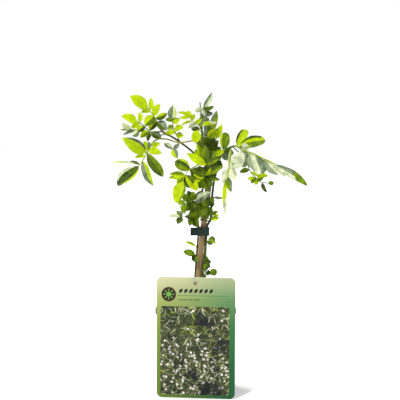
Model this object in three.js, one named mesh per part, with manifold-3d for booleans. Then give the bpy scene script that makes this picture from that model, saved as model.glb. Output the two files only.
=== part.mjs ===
// A young common jasmine in a round nursery pot, trained up one bamboo cane, with a hanging care label.
// Millimetres, +Z up, front towards -Y. The origin is the middle of the pot's flat underside.
import * as THREE from "three";
import { mergeVertices } from "three/addons/utils/BufferGeometryUtils.js";
import Module from "manifold-3d";

const wasm = await Module();
wasm.setup();

// Driving dimensions
const GAP = 0.3; // clearance between pieces that touch
const POT = { height: 90, rimRadius: 45, rimDepth: 6, neckRadius: 42.6, baseRadius: 32, wall: 1.3, floor: 1.8 };
const DRAIN = { count: 6, radius: 3.5, ring: 23, sides: 8 };
const SOIL = { top: 80, unevenness: 0.9 };
const CANE = { bottom: 3.4, top: 3.0, sides: 10, steps: 12 };
const STEM = { sides: 6, stepsPerPoint: 1.3 };
const RIB_SIDES = 4;
const CLIP = { height: 8.8, wall: 1.1, tabThickness: 2.2, corner: 2.6 };
const CORNER_STEPS = { clip: 2, label: 4 };
const LABEL = { width: 83.8, height: 130.6, thickness: 0.8, corner: 5.5, clearUnder: 0.4, lean: 0.25, turn: 5 };
const LABEL_HOLE = { radius: 2.5, below: 6.5, aside: -0.4 };
const STRING = { diameter: 0.9, sides: 6, steps: 36 };
const BLADE = { thickness: 0.7, fold: 0.24, arch: 0.05, stalk: 0.5, tip: 0.28, longFrom: 20, shortBelow: 10 };
// Where a leaflet's width is drawn along its length, for a long, a middling and a short one
const STATIONS = { long: [0, 0.16, 0.42, 0.72], middling: [0, 0.2, 0.6], short: [0, 0.4] };

// The plant is set out as its front view shows it, from an eye 1.1 m away and 5 degrees above level.
// u is mm to the right of the pot's axis, v is mm above the table and y is mm behind the axis.
const EYE = { range: 1100, above: THREE.MathUtils.degToRad(5), aside: 4.7, height: 209.6 };

function seen(u, v, y) {
  const target = new THREE.Vector3(EYE.aside, 0, EYE.height);
  const up = new THREE.Vector3(0, Math.sin(EYE.above), Math.cos(EYE.above));
  const back = new THREE.Vector3(0, -Math.cos(EYE.above), Math.sin(EYE.above));
  const eye = target.clone().addScaledVector(back, EYE.range);
  const drawn = target.clone().addScaledVector(up, v - EYE.height);
  drawn.x = u;
  return eye.clone().lerp(drawn, (y - eye.y) / (drawn.y - eye.y));
}

// Stems: a route up the front view, and the radius at the root and at the tip
const STEMS = {
  stem_left: {
    thick: [1.15, 0.8],
    route: [
      [-5.5, 58, 4], [-3.8, 89, 3.4], [-1.2, 120, 3.2], [1, 150, 2.8], [3.1, 174, 2.3], [3.3, 179.5, 2.8],
      [2.2, 186, 3.8], [2.8, 199, 4.6], [5.3, 212, 3.6], [8.5, 225, 2], [10.7, 236, 0], [11.1, 244, -1.7],
      [10.5, 249, -3.3],
      [8, 252, -5], [1.2, 258, -6.5], [-6.3, 265, -8], [-17, 273, -10], [-26, 279, -12], [-34, 283, -14],
      [-40, 289, -16], [-43, 295, -17],
    ],
  },
  stem_right: {
    thick: [1.5, 0.9],
    route: [
      [10.8, 58, -1], [10.6, 89, -1], [10.4, 120, -1], [11.3, 150, 0], [12.4, 174, 1.3], [12.6, 181, 2.2],
      [16.4, 188.5, 1.8],
      [16.8, 196, 2.2], [17.8, 211, 3.2], [19.7, 227, 4.2], [22.5, 243, 4.6], [27.4, 258, 4],
      [34.4, 266, 1], [42.4, 269, -2],
    ],
  },
  stem_leader: {
    thick: [1.2, 0.7],
    route: [
      [6, 58, 7], [6.4, 89, 6.6], [7.5, 133, 6.8], [8, 174, 7.4], [8.9, 193, 7.6], [10.6, 215, 7.4],
      [10.9, 240, 7], [9.8, 254, 5.5], [8.2, 265, 2.5], [7.1, 277, 0], [6.4, 300, 0], [4.6, 317, 0.5],
    ],
  },
  stem_side: {
    on: "stem_leader",
    thick: [0.9, 0.75],
    route: [
      [8.4, 261, 3.2], [6, 264.4, -1.5], [2.6, 270, -5.6], [-1.6, 274.4, -9], [-12.9, 273.2, -15],
      [-20, 273, -15.5],
      [-32, 276.5, -15], [-41, 277, -14],
    ],
  },
};

// The cane leans to the right and is very slightly bowed.
const CANE_ROUTE = [[-4, 20, 0], [0.5, 90, 0], [3.3, 126, 0], [7.2, 170, 0], [9.3, 186, 0], [13.9, 221, 0], [16.8, 245.5, 0]];

// The twining branch leaves the leader behind the cane, winds round the cane above its knot, climbs
// again and then twines round the leader to the top.
const TWINE = {
  radius: 0.8,
  sides: 4,
  steps: 46,
  root: [[8.5, 183, 7.4], [11.5, 184.6, 6.6]],
  caneTurns: { from: 186, to: 194, turns: 2.85, start: 62, radius: 4.45 },
  climb: [[8.2, 197.6, 5.6], [11, 205, 6], [14.5, 218, 6.6], [15.4, 232, 7.4], [14.2, 246, 7], [12, 257, 4.6]],
  leaderTurns: { from: 266, to: 304, turns: 2.5, start: 20, radius: 1.3 },
};

// The elastic string: a loop from the label's hole, round behind the stems and back to the hole
const STRING_ROUTE = [
  [-0.5, 118.7, -46.1], [-0.9, 119, -47.3], [-2.6, 121.8, -47.5], [-5, 126, -46.2], [-8.2, 131.2, -39],
  [-9.6, 135, -30], [-8.6, 139.2, -20], [-5.4, 143.8, -9], [-1.6, 146.6, 1], [2.4, 147.2, 9.4],
  [7.6, 146.8, 11],
  [12.8, 144.4, 8.6], [16.6, 140.6, 1], [19.4, 137, -7], [22.6, 134.6, -15], [29.6, 132.3, -25],
  [36, 128.6, -35],
  [40, 124.4, -42], [37.6, 119.4, -44.2], [28.8, 115.4, -44.2], [15, 113.8, -44.2], [4.6, 116, -44.3],
  [0.8, 117.7, -44.7], [0.5, 118, -45.2],
];

// The pinnate leaves. Each has the stem that it grows on, its rib's route, the rib's radius at root and tip,
// and its leaflets as [share of the rib, tip u, tip v, tip y, width, roll in degrees, sideways bow].
const FRONDS = [
  {
    name: "frond_upper_left",
    on: "stem_left",
    rib: [[-42.8, 295.4, -17], [-46.4, 302.4, -19], [-52.3, 310, -22]],
    thick: [0.8, 0.5],
    leaves: [
      [1, -72, 324, -34, 13, 10, 0],
      [0.87, -49, 322, -17, 6.6, 38, 0],
      [0.47, -39, 315, -28, 8.8, -10, 0],
      [0.83, -60, 306, -27, 5.5, 15, 0],
      [0.24, -31, 305, -12, 7.2, 28, 0],
      [0.44, -56, 291, -31, 11, -15, 0],
      [0.06, -51, 286, -25, 8, 5, 0],
      [0.03, -32, 286, -26, 11, -20, 0],
    ],
  },
  {
    name: "frond_left_tip",
    on: "stem_left",
    rib: [
      [-36.5, 284.9, -14.5], [-43.7, 284.6, -8], [-50.2, 284.8, -5], [-57.3, 291.4, -6],
      [-64.5, 296.5, -9],
    ],
    thick: [0.8, 0.45],
    leaves: [
      [1, -82, 302, -17, 10.2, 8, 0],
      [0.91, -61, 306, -2, 6.2, 25, 0],
      [0.89, -71, 289, -12, 6.6, -10, 0],
      [0.74, -64, 284, -15, 8, 5, 0],
      [0.53, -61, 278, -12, 7.7, 5, 0],
      [0.47, -53, 274, -1, 6.1, 30, 0],
      [0.45, -38, 277, -8, 8.1, 10, 0],
    ],
  },
  {
    name: "frond_left_pale",
    on: "stem_left",
    rib: [[-33.2, 282.4, -13], [-43.7, 280, 0], [-52.5, 282.2, 6], [-62.8, 286.1, 9], [-71.2, 287.4, 12]],
    thick: [0.75, 0.4],
    leaves: [
      [1, -81, 294, 8, 6.8, 190, 0],
      [0.95, -83, 287, 18, 5.5, 150, -1],
      [0.85, -80, 281, 16, 5.5, 35, 0],
      [0.79, -70, 280, 3, 7.2, 165, 0],
    ],
  },
  {
    name: "frond_lower_left",
    on: "stem_side",
    rib: [
      [-40.9, 277, -14], [-46.8, 273.4, -16], [-52.9, 263.1, -20], [-60.3, 250, -26],
      [-68.4, 240.9, -29], [-71.6, 237.8, -30],
    ],
    thick: [0.9, 0.45],
    leaves: [
      [0.41, -81, 278, -33, 14.3, -14, 0],
      [0.37, -57, 275, -14, 6.6, 30, 0],
      [0.29, -52, 274, -24, 5, 25, 0],
      [0.23, -39, 272, -23, 5.5, 30, 0],
      [0.34, -37, 261, -28, 9.2, -8, 0],
      [0.4, -36, 235, -10, 11.6, 15, 0],
      [0.62, -46, 225, -29, 9.2, 15, 1],
      [0.75, -86, 225, -42, 14.9, 12, 0],
      [0.72, -92, 251, -20, 5.9, 55, -1],
      [0.71, -73, 252, -22, 4.4, 20, 0],
      [0.49, -67, 256, -24, 6.6, 35, 0],
    ],
  },
  {
    name: "frond_top_left",
    on: "stem_left",
    rib: [[-18.1, 274.3, -10], [-22.1, 283.1, -12], [-24.7, 288.9, -13], [-25.4, 298.6, -14]],
    thick: [0.75, 0.45],
    leaves: [
      [1, -25, 314, -20, 9.7, -8, 0],
      [0.87, -17, 299, -21, 7.2, 15, 0],
      [0.89, -33, 299, -9, 6.1, 20, 0],
      [0.57, -13, 289, -21, 7.9, -12, 0],
      [0.61, -32, 289, -5, 6.6, 10, 0],
      [0.33, -13, 280, -18, 6.6, 20, 0],
      [0.42, -34, 283, -22, 6.6, 10, 0],
    ],
  },
  {
    name: "sprig_small_left",
    on: "stem_left",
    rib: [[-17.8, 273.2, -10], [-21.7, 269, -15], [-25.4, 265.9, -18]],
    thick: [0.6, 0.4],
    leaves: [
      [1, -35, 272, -20, 6.2, 20, 0],
      [0.97, -20, 255, -24, 7.5, 10, 0],
      [0.9, -18, 271, -19, 4.6, 20, 0],
    ],
  },
  {
    name: "frond_leader_left",
    on: "stem_leader",
    rib: [[6.2, 289.9, 0], [0.2, 293.5, -6], [-4.4, 297.4, -10], [-7.4, 301.1, -13]],
    thick: [0.65, 0.4],
    leaves: [
      [1, -20, 306, -17, 5.1, 30, 1.2],
      [0.95, -9, 308, -10, 6.2, 10, 0],
      [0.98, -18, 300, -19, 4.2, -25, 0],
      [0.77, -1, 304, -18, 5.5, 10, 0],
      [0.69, -16, 291, -6, 3.1, 10, 1.2],
      [0.48, 7, 299, -13, 5, 30, 0],
      [0.44, -8, 289, -3, 5.5, 145, 0],
    ],
  },
  {
    name: "frond_leader_base",
    on: "stem_leader",
    rib: [[7.1, 283.3, 0], [4.2, 286.1, -5], [2, 286.6, -8]],
    thick: [0.6, 0.45],
    leaves: [
      [1, -2, 273, -13, 10.1, -10, 0],
      [0.63, -5, 289, 3, 7.3, 20, 0],
    ],
  },
  {
    name: "frond_leader_right",
    on: "stem_leader",
    rib: [[7.2, 277.8, 0], [11.3, 277.8, 1], [17.4, 277.8, 0], [22.5, 277.1, -2]],
    thick: [0.75, 0.45],
    leaves: [
      [0.33, 23, 308, 10, 8.8, 22, 0],
      [1, 29, 293, -7, 8.1, -12, 0],
      [0.54, 25, 288, -7, 6.8, 10, 0],
      [0.19, 11, 299, -6, 4.2, 15, 0],
      [0.12, 14, 295, 4, 4, 20, 0],
    ],
  },
  {
    name: "leaflet_leader_long",
    on: "stem_leader",
    rib: [[6.9, 286.1, 0], [4.5, 288.8, -5], [6.9, 291.9, -9]],
    thick: [0.5, 0.45],
    leaves: [
      [1, 24, 295, -13, 5.3, 45, -1.8],
    ],
  },
  {
    name: "shoot_tip",
    on: "stem_leader",
    rib: [[8.4, 304.2, -1], [9, 307.5, -1.5], [8.2, 311.2, -1.5]],
    thick: [0.8, 0.55],
    leaves: [
      [1, 18, 328, -4, 6.2, 15, 1],
      [0.64, 20, 313, -7, 4.4, 20, 0.5],
      [0.75, -1, 308, -5, 5.7, 150, 0],
      [0.23, 19, 305, 4, 6.2, 20, 0.5],
    ],
  },
  {
    name: "frond_centre_upper",
    on: "stem_leader",
    rib: [[8.9, 260.4, 4], [8.4, 263.7, 8], [11.7, 265, 9.8], [18.1, 262.4, 9]],
    thick: [0.75, 0.5],
    leaves: [
      [0.42, 14, 281, 14, 9.9, 20, 0],
      [0.38, 3, 278, 12, 8.8, -10, 0],
      [1, 20, 282, 7, 6.8, 10, 0],
    ],
  },
  {
    name: "frond_centre_arch",
    on: "stem_left",
    rib: [[6, 253.7, -5.5], [8.7, 251, -11], [12, 248.1, -14]],
    thick: [0.75, 0.5],
    leaves: [
      [0.42, 1, 271, -14, 8.1, 20, 0],
      [0.62, 11, 270, -18, 10.8, 10, 0],
      [1, -10, 261, -21, 9.2, -12, 0],
    ],
  },
  {
    name: "frond_centre_front",
    on: "stem_left",
    rib: [[9.9, 234.9, 0.3], [9.3, 233.8, -6], [10.8, 236.6, -13]],
    thick: [0.8, 0.5],
    leaves: [
      [1, 3, 247, -11, 7.7, 15, 0],
      [1, -7, 242, -17, 13.4, 10, 0],
      [0.96, 29, 248, -15, 7.9, 15, 0],
      [0.02, 27, 232, -15, 5.9, 20, 0],
      [0.36, 20, 225, -11, 6.6, 15, 0],
      [0.98, 17, 245, -18, 2.9, 5, 0.6],
    ],
  },
  {
    name: "frond_centre_right",
    on: "stem_right",
    rib: [[22.7, 245.3, 4.6], [23, 248.1, 1], [23.7, 251.9, -1.5]],
    thick: [0.75, 0.5],
    leaves: [
      [0.99, 26, 264, 1, 7.7, 10, 0],
      [0.54, 28, 253, -5, 6.6, 20, 0],
      [0.81, 16, 260, -3, 7.2, 20, 0],
    ],
  },
  {
    name: "leaflet_pair_right",
    on: "stem_right",
    rib: [[29.2, 261.3, 4], [30, 262.8, 9], [30.3, 264.4, 12]],
    thick: [0.6, 0.5],
    leaves: [
      [1, 33, 284, 16, 11.2, 12, 0],
      [0.43, 36, 253, 11, 8.1, 15, 0],
    ],
  },
  {
    name: "leaflet_right_inner",
    on: "stem_right",
    rib: [[31.7, 264.1, 2], [30.7, 264.8, -4.5]],
    thick: [0.55, 0.5],
    leaves: [
      [1, 21, 257, -11, 6.6, 15, 0],
    ],
  },
  {
    name: "frond_left_middle",
    on: "stem_left",
    rib: [
      [8.7, 251.4, -4.8], [2.5, 248.1, -13], [-6.4, 243.3, -20], [-11.9, 236.6, -24],
      [-14.4, 230.5, -26],
    ],
    thick: [0.85, 0.45],
    leaves: [
      [0.58, -23, 252, -29, 12.5, -10, 0],
      [0.82, -29, 238, -33, 7.7, -15, 0],
      [0.87, -30, 234, -17, 6.6, 20, 0],
      [0.99, -22, 206, -33, 13.9, 10, 0],
      [0.81, 2, 220, -22, 11.4, -12, 0],
    ],
  },
  {
    name: "frond_low_left",
    on: "stem_left",
    rib: [[3.9, 204.7, 4.2], [0.3, 207.1, -1], [-3, 208.5, -5], [-7.4, 209, -8], [-11.8, 205.8, -10]],
    thick: [0.7, 0.45],
    leaves: [
      [0.75, -16, 215, -15, 8.8, 10, 0],
      [0.97, -20, 207, -6, 6.2, 15, 0],
      [0.52, -3, 219, -11, 8.1, 12, 0],
      [0.4, 16, 218, -15, 10.3, -10, 0],
      [1, -13, 195, -15, 8.1, 10, 0],
      [0.55, -3, 190, -12, 8.6, -15, 0],
    ],
  },
  {
    name: "frond_low_right",
    on: "stem_right",
    rib: [[16.8, 206.8, 3], [16, 204.1, -3], [12.4, 201.9, -7]],
    thick: [0.6, 0.45],
    leaves: [
      [0.64, 21, 206, -9, 5, 20, 0],
      [0.91, 15, 195, -9, 6.1, 20, 0],
      [1, 3, 197, -10, 7.2, 20, 0],
      [0.89, 4, 206, -7, 6.6, 15, 0],
      [1, 6, 190, -9, 8.1, 10, 0],
      [0.93, 13, 189, -8, 7, 10, 0],
    ],
  },
  {
    name: "sprig_low_right",
    on: "stem_right",
    rib: [[15.9, 196.9, 1.5], [18.1, 194.9, -1], [17.8, 191.3, -2.5], [16.4, 188.3, -3]],
    thick: [0.55, 0.45],
    leaves: [
      [0.43, 26, 192, -4, 3.5, 20, 0],
      [0.34, 25, 197, -6, 3.7, 20, 0],
      [0.97, 26, 190, -6, 5.5, 15, 0],
    ],
  },
  {
    name: "leaflet_low_right",
    on: "stem_right",
    rib: [[17.4, 211.8, 3], [19, 212.9, 3]],
    thick: [0.5, 0.5],
    leaves: [
      [1, 30, 212, 5, 3.7, 40, 0],
    ],
  },
  {
    name: "sprig_low_left",
    on: "stem_left",
    rib: [[1.6, 185.9, 3.5], [-5.2, 190.6, -3], [-11.9, 191, -5], [-15.6, 190.9, -6]],
    thick: [0.6, 0.4],
    leaves: [
      [1, -31, 192, -11, 5.1, 30, 0],
      [0.97, -21, 198, -3, 6.6, 15, 0],
      [0.99, -20, 183, -10, 7.5, 10, 0],
      [0.26, -12, 192, -7, 5.9, 15, 0],
      [0.3, 2, 180, -9, 8.1, 10, 0],
    ],
  },
  {
    name: "tendril_low_left",
    on: "stem_left",
    rib: [[1.4, 190.9, 4], [-6.3, 193.7, 6], [-12.3, 195, 6], [-15.6, 198.6, 5], [-17.3, 204.9, 4]],
    thick: [0.5, 0.35],
    leaves: [
      [1, -20, 211, 2, 5.5, 20, 0],
    ],
  },
  {
    name: "sprig_clip_left",
    on: "stem_left",
    rib: [[0.7, 147.4, 2.9], [0.2, 148.8, -2], [-0.2, 149.4, -5]],
    thick: [0.55, 0.45],
    leaves: [
      [1, -14, 153, -9, 7.9, 10, 0],
      [0.77, -1, 141, -8, 6.6, 10, 0],
    ],
  },
  {
    name: "leaflet_clip_left",
    on: "stem_left",
    rib: [[1.6, 157.9, 2.7], [-0.1, 159, -1]],
    thick: [0.5, 0.45],
    leaves: [
      [0.91, -12, 164, -3, 4.2, 30, 0],
    ],
  },
  {
    name: "sprig_clip_right",
    on: "stem_right",
    rib: [[11.7, 162.3, -0.5], [13.7, 164.9, -5], [14.6, 167.8, -7]],
    thick: [0.6, 0.45],
    leaves: [
      [1, 22, 165, -9, 7.7, 10, 0],
      [0.85, 24, 161, -8, 3.1, 20, 0],
      [0.37, 19, 161, -5, 5.1, 20, 0],
    ],
  },
  {
    name: "sprig_base_right",
    on: "stem_right",
    rib: [[10.4, 138.8, -1], [11.3, 139.5, -5], [12.2, 140.3, -6.5]],
    thick: [0.55, 0.45],
    leaves: [
      [1, 17, 143, -8, 5.1, 15, 0],
      [0.69, 11, 131, -9, 6.6, 10, 0],
      [0.87, 16, 135, -6, 4.4, 15, 0],
    ],
  },
  {
    name: "leaflet_base_right",
    on: "stem_right",
    rib: [[10.3, 125.4, -1], [13.3, 127.1, -3], [15.5, 127.8, -3.5]],
    thick: [0.55, 0.45],
    leaves: [
      [1, 23, 133, -4, 8.4, 10, 0],
      [0.54, 8, 132, -8, 4.4, 20, 0],
    ],
  },
  {
    name: "frond_right_long",
    on: "stem_right",
    rib: [
      [42.1, 269.1, -2], [44.9, 268.8, -3], [51.9, 264.4, -8], [63.3, 260.5, -14], [73.8, 255.5, -20],
      [86.7, 249.2, -25], [97.7, 241.9, -29], [110.3, 233, -33.4],
    ],
    thick: [1, 0.45],
    leaves: [
      [0.04, 56, 287, 8, 10.8, -8, 0],
      [0.07, 77, 275, -17, 13.4, -10, -1.5],
      [0.17, 55, 272, -14, 9.4, 160, 0],
      [0.15, 42, 244, -22, 13.9, 196, 0],
      [0.2, 55, 247, -12, 8.8, 170, 0],
      [0.34, 72, 238, -27, 15.6, 188, 0],
      [0.48, 91, 237, -31, 11.7, 165, 0],
      [0.68, 98, 235, -26, 6.6, 205, 0],
      [0.65, 123, 225, -38, 9.5, -12, 0],
    ],
  },
  {
    name: "frond_right_hanging",
    on: "stem_right",
    rib: [[38.8, 268, 0], [38.4, 259.1, -5], [36.8, 250.3, -9], [36.2, 242.6, -11], [35.9, 235.1, -12]],
    thick: [0.7, 0.45],
    leaves: [
      [0.69, 30, 228, -15, 8.1, 160, 0],
      [0.59, 43, 231, -18, 9.2, 190, 0],
      [1, 39, 218, -15, 7, 15, 0],
      [0.94, 32, 192, -6, 5.1, 15, 1.5],
    ],
  },
  {
    name: "frond_right_lower",
    on: "frond_right_long",
    rib: [
      [52.6, 264.2, -8], [55.3, 255.8, 1], [57.4, 247.8, 2], [60.4, 240.6, 0], [65.9, 234.2, -4],
      [71.7, 229.6, -8], [80.2, 228, -12],
    ],
    thick: [0.6, 0.4],
    leaves: [
      [0.47, 48, 240, -6, 6.2, 15, 0],
      [0.53, 80, 236, -10, 6.6, 28, 0],
      [0.68, 57, 232, -10, 5.5, 35, 0],
      [0.73, 66, 226, -9, 5.9, 15, 0],
      [0.86, 78, 218, -4, 5.5, 50, 0],
      [1, 86, 229, -15, 5.1, 20, 0],
    ],
  },
  {
    name: "frond_back_upper",
    on: "stem_leader",
    rib: [[9.1, 258, 4.5], [11.9, 261.3, 14], [14.1, 265.1, 26], [15.2, 266.2, 38]],
    thick: [0.8, 0.5],
    leaves: [
      [0.2, 3, 268, 22, 11, 20, 0],
      [0.3, 23, 268, 20, 11, -20, 0],
      [0.61, 5, 262, 36, 12.1, 15, 0],
      [0.65, 25, 260, 34, 12.1, -15, 0],
      [1, 16, 269, 60, 13.2, 0, 0],
    ],
  },
  {
    name: "frond_back_lower",
    on: "stem_leader",
    rib: [[10.8, 234.9, 7], [11.3, 237.7, 14], [12.2, 240.4, 26], [12.7, 239.8, 40]],
    thick: [0.8, 0.5],
    leaves: [
      [0.18, 1, 244, 20, 11, 20, 0],
      [0.21, 23, 245, 20, 11, -20, 0],
      [0.56, 3, 235, 36, 12.1, 15, 0],
      [0.71, 23, 236, 36, 12.1, -15, 0],
      [1, 14, 236, 62, 13.2, 0, 0],
    ],
  },
  {
    name: "frond_back_right",
    on: "stem_right",
    rib: [[41, 268.3, 0], [47.6, 261.9, 10], [54.2, 256.4, 22], [59.7, 252.5, 32]],
    thick: [0.7, 0.45],
    leaves: [
      [0.43, 46, 251, 22, 9.9, 20, 0],
      [0.37, 58, 262, 8, 8.8, -20, 0],
      [0.76, 51, 246, 36, 9.9, 15, 0],
      [0.73, 65, 256, 26, 9.9, -20, 0],
      [1, 69, 246, 42, 11, 0, 0],
    ],
  },
];

// Solids

function solidOf(geometry) {
  const bare = geometry.clone();
  bare.deleteAttribute("normal");
  bare.deleteAttribute("uv");
  const merged = mergeVertices(bare, 1e-4);
  const mesh = new wasm.Mesh({
    numProp: 3,
    vertProperties: new Float32Array(merged.attributes.position.array),
    triVerts: new Uint32Array(merged.index.array),
  });
  return new wasm.Manifold(mesh);
}

function geometryOf(solid) {
  const mesh = solid.getMesh();
  const geometry = new THREE.BufferGeometry();
  geometry.setAttribute("position", new THREE.BufferAttribute(mesh.vertProperties, 3));
  geometry.setIndex(new THREE.BufferAttribute(mesh.triVerts, 1));
  geometry.computeVertexNormals();
  return geometry;
}

// The biggest body of a solid: a trimmed piece keeps no loose scraps.
function largest(solid) {
  return solid.decompose().reduce((big, one) => (one.volume() > big.volume() ? one : big));
}

function curveThrough(points) {
  return new THREE.CatmullRomCurve3(points, false, "centripetal");
}

// A round stem along a curve, tapering evenly, with closed ends
function taperedTube(curve, rootRadius, tipRadius, sides, steps) {
  const frames = curve.computeFrenetFrames(steps, false);
  const positions = [];
  const faces = [];
  for (let i = 0; i <= steps; i += 1) {
    const share = i / steps;
    const centre = curve.getPointAt(share);
    const radius = THREE.MathUtils.lerp(rootRadius, tipRadius, share);
    for (let k = 0; k < sides; k += 1) {
      const angle = (k / sides) * 2 * Math.PI;
      const rim = centre
        .clone()
        .addScaledVector(frames.normals[i], radius * Math.cos(angle))
        .addScaledVector(frames.binormals[i], radius * Math.sin(angle));
      positions.push(...rim.toArray());
    }
  }
  for (let i = 0; i < steps; i += 1) {
    for (let k = 0; k < sides; k += 1) {
      const a = i * sides + k;
      const b = i * sides + ((k + 1) % sides);
      faces.push(a, b, b + sides, a, b + sides, a + sides);
    }
  }
  const last = steps * sides;
  for (let k = 1; k < sides - 1; k += 1) {
    faces.push(0, k + 1, k);
    faces.push(last, last + k, last + k + 1);
  }
  const geometry = new THREE.BufferGeometry();
  geometry.setAttribute("position", new THREE.Float32BufferAttribute(positions, 3));
  geometry.setIndex(faces);
  return geometry;
}

// A leaflet's half width at a share of its length, as a part of its greatest half width
function outline(share) {
  const fromStalk = Math.max(share - 0.04, 0);
  return (fromStalk ** 0.7 * (1 - share) ** 0.9) / 0.313;
}

// One leaflet: a thin blade folded up along its midrib and arched from base to tip
function blade(base, tip, width, roll, bow) {
  const along = tip.clone().sub(base);
  const length = along.length();
  along.normalize();
  const towardsLight = new THREE.Vector3(0, -1, 0.25);
  const upper = towardsLight.addScaledVector(along, -towardsLight.dot(along)).normalize();
  upper.applyAxisAngle(along, THREE.MathUtils.degToRad(roll));
  const side = new THREE.Vector3().crossVectors(along, upper);
  let stations = STATIONS.middling;
  if (length >= BLADE.longFrom) stations = STATIONS.long;
  if (length < BLADE.shortBelow) stations = STATIONS.short;
  const positions = [];
  for (const share of stations) {
    const half = share === 0 ? BLADE.stalk : Math.max(outline(share) * (width / 2), BLADE.tip);
    const hump = 4 * share * (1 - share);
    const middle = base
      .clone()
      .addScaledVector(along, share * length)
      .addScaledVector(upper, BLADE.arch * length * hump)
      .addScaledVector(side, bow * hump);
    for (const below of [0, -BLADE.thickness]) {
      for (const across of [-1, 0, 1]) {
        const lift = below + BLADE.fold * half * Math.abs(across);
        const point = middle
          .clone()
          .addScaledVector(side, across * half)
          .addScaledVector(upper, lift);
        positions.push(...point.toArray());
      }
    }
  }
  const faces = [];
  const quad = (a, b, c, d) => faces.push(a, b, c, a, c, d);
  const ring = [0, 1, 2, 5, 4, 3]; // round one station: over the top and back underneath
  for (let i = 0; i < stations.length - 1; i += 1) {
    for (let k = 0; k < ring.length; k += 1) {
      const a = i * 6 + ring[k];
      const b = i * 6 + ring[(k + 1) % ring.length];
      // Both faces of the blade are split along the same diagonals.
      if (k === 0 || k === 1 || k === 2) quad(a, b, b + 6, a + 6);
      else quad(b, b + 6, a + 6, a);
    }
  }
  quad(0, 3, 4, 1);
  quad(1, 4, 5, 2);
  // The tip is one upright edge, which the last station runs out to.
  const last = (stations.length - 1) * 6;
  const point = last + 6;
  positions.push(...tip.toArray(), ...tip.clone().addScaledVector(upper, -BLADE.thickness).toArray());
  faces.push(last, last + 1, point, last + 1, last + 2, point);
  faces.push(last + 4, last + 3, point + 1, last + 5, last + 4, point + 1);
  quad(last + 2, last + 5, point + 1, point);
  quad(last + 3, last, point, point + 1);
  const geometry = new THREE.BufferGeometry();
  geometry.setAttribute("position", new THREE.Float32BufferAttribute(positions, 3));
  geometry.setIndex(faces);
  return geometry;
}

// Stems

function stemCurve(name) {
  return curveThrough(STEMS[name].route.map(([u, v, y]) => seen(u, v, y)));
}

function pointAtHeight(curve, height) {
  let low = 0;
  let high = 1;
  for (let i = 0; i < 30; i += 1) {
    const middle = (low + high) / 2;
    if (curve.getPoint(middle).z < height) low = middle;
    else high = middle;
  }
  return curve.getPoint(low);
}

function windings(curve, { from, to, turns, start, radius }) {
  const points = [];
  const perTurn = 8;
  const count = Math.round(turns * perTurn);
  for (let i = 0; i <= count; i += 1) {
    const centre = pointAtHeight(curve, from + ((to - from) * i) / count);
    const angle = THREE.MathUtils.degToRad(start) - (i / perTurn) * 2 * Math.PI;
    points.push(new THREE.Vector3(centre.x + radius * Math.cos(angle), centre.y + radius * Math.sin(angle), centre.z));
  }
  return points;
}

const caneCurve = curveThrough(CANE_ROUTE.map(([u, v, y]) => seen(u, v, y)));

const twineCurve = curveThrough([
  ...TWINE.root.map(([u, v, y]) => seen(u, v, y)),
  ...windings(caneCurve, TWINE.caneTurns),
  ...TWINE.climb.map(([u, v, y]) => seen(u, v, y)),
  ...windings(stemCurve("stem_leader"), TWINE.leaderTurns),
]);

// A stem as a solid. With a clearance it is the room that the stem takes in its neighbours.
function stemSolid(name, clearance) {
  const { thick, route } = STEMS[name];
  const points = route.map(([u, v, y]) => seen(u, v, y));
  if (clearance > 0) {
    const rootwards = points[0].clone().sub(points[1]).setLength(clearance);
    const tipwards = points.at(-1).clone().sub(points.at(-2)).setLength(clearance);
    points[0].add(rootwards);
    points.at(-1).add(tipwards);
  }
  const steps = Math.round(route.length * STEM.stepsPerPoint);
  const [root, tip] = thick.map((radius) => radius + clearance);
  const tube = taperedTube(curveThrough(points), root, tip, STEM.sides, steps);
  const stem = solidOf(tube);
  if (name !== "stem_leader") return stem;
  const twineRadius = TWINE.radius + clearance;
  const branch = taperedTube(twineCurve, twineRadius, twineRadius, TWINE.sides, TWINE.steps);
  return stem.add(solidOf(branch));
}

function caneSolid(clearance) {
  const points = caneCurve.points.map((point) => point.clone());
  points[0].z -= clearance;
  return solidOf(
    taperedTube(curveThrough(points), CANE.bottom + clearance, CANE.top + clearance, CANE.sides, CANE.steps),
  );
}

// A pinnate leaf: its rib with every leaflet sunk into it
function frondSolid({ rib, thick, leaves }) {
  const curve = curveThrough(rib.map(([u, v, y]) => seen(u, v, y)));
  let solid = solidOf(taperedTube(curve, thick[0], thick[1], RIB_SIDES, rib.length));
  for (const [share, u, v, y, width, roll, bow] of leaves) {
    solid = solid.add(solidOf(blade(curve.getPointAt(share), seen(u, v, y), width, roll, bow)));
  }
  return solid;
}

// Pot and soil

function lathe(profile, segments) {
  const geometry = new THREE.LatheGeometry(
    profile.map(([radius, z]) => new THREE.Vector2(radius, z)),
    segments,
  );
  geometry.rotateX(Math.PI / 2);
  return solidOf(geometry);
}

const POT_SEGMENTS = 28;

function wallRadius(z) {
  return THREE.MathUtils.lerp(POT.baseRadius, POT.neckRadius, z / (POT.height - POT.rimDepth));
}

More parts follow.
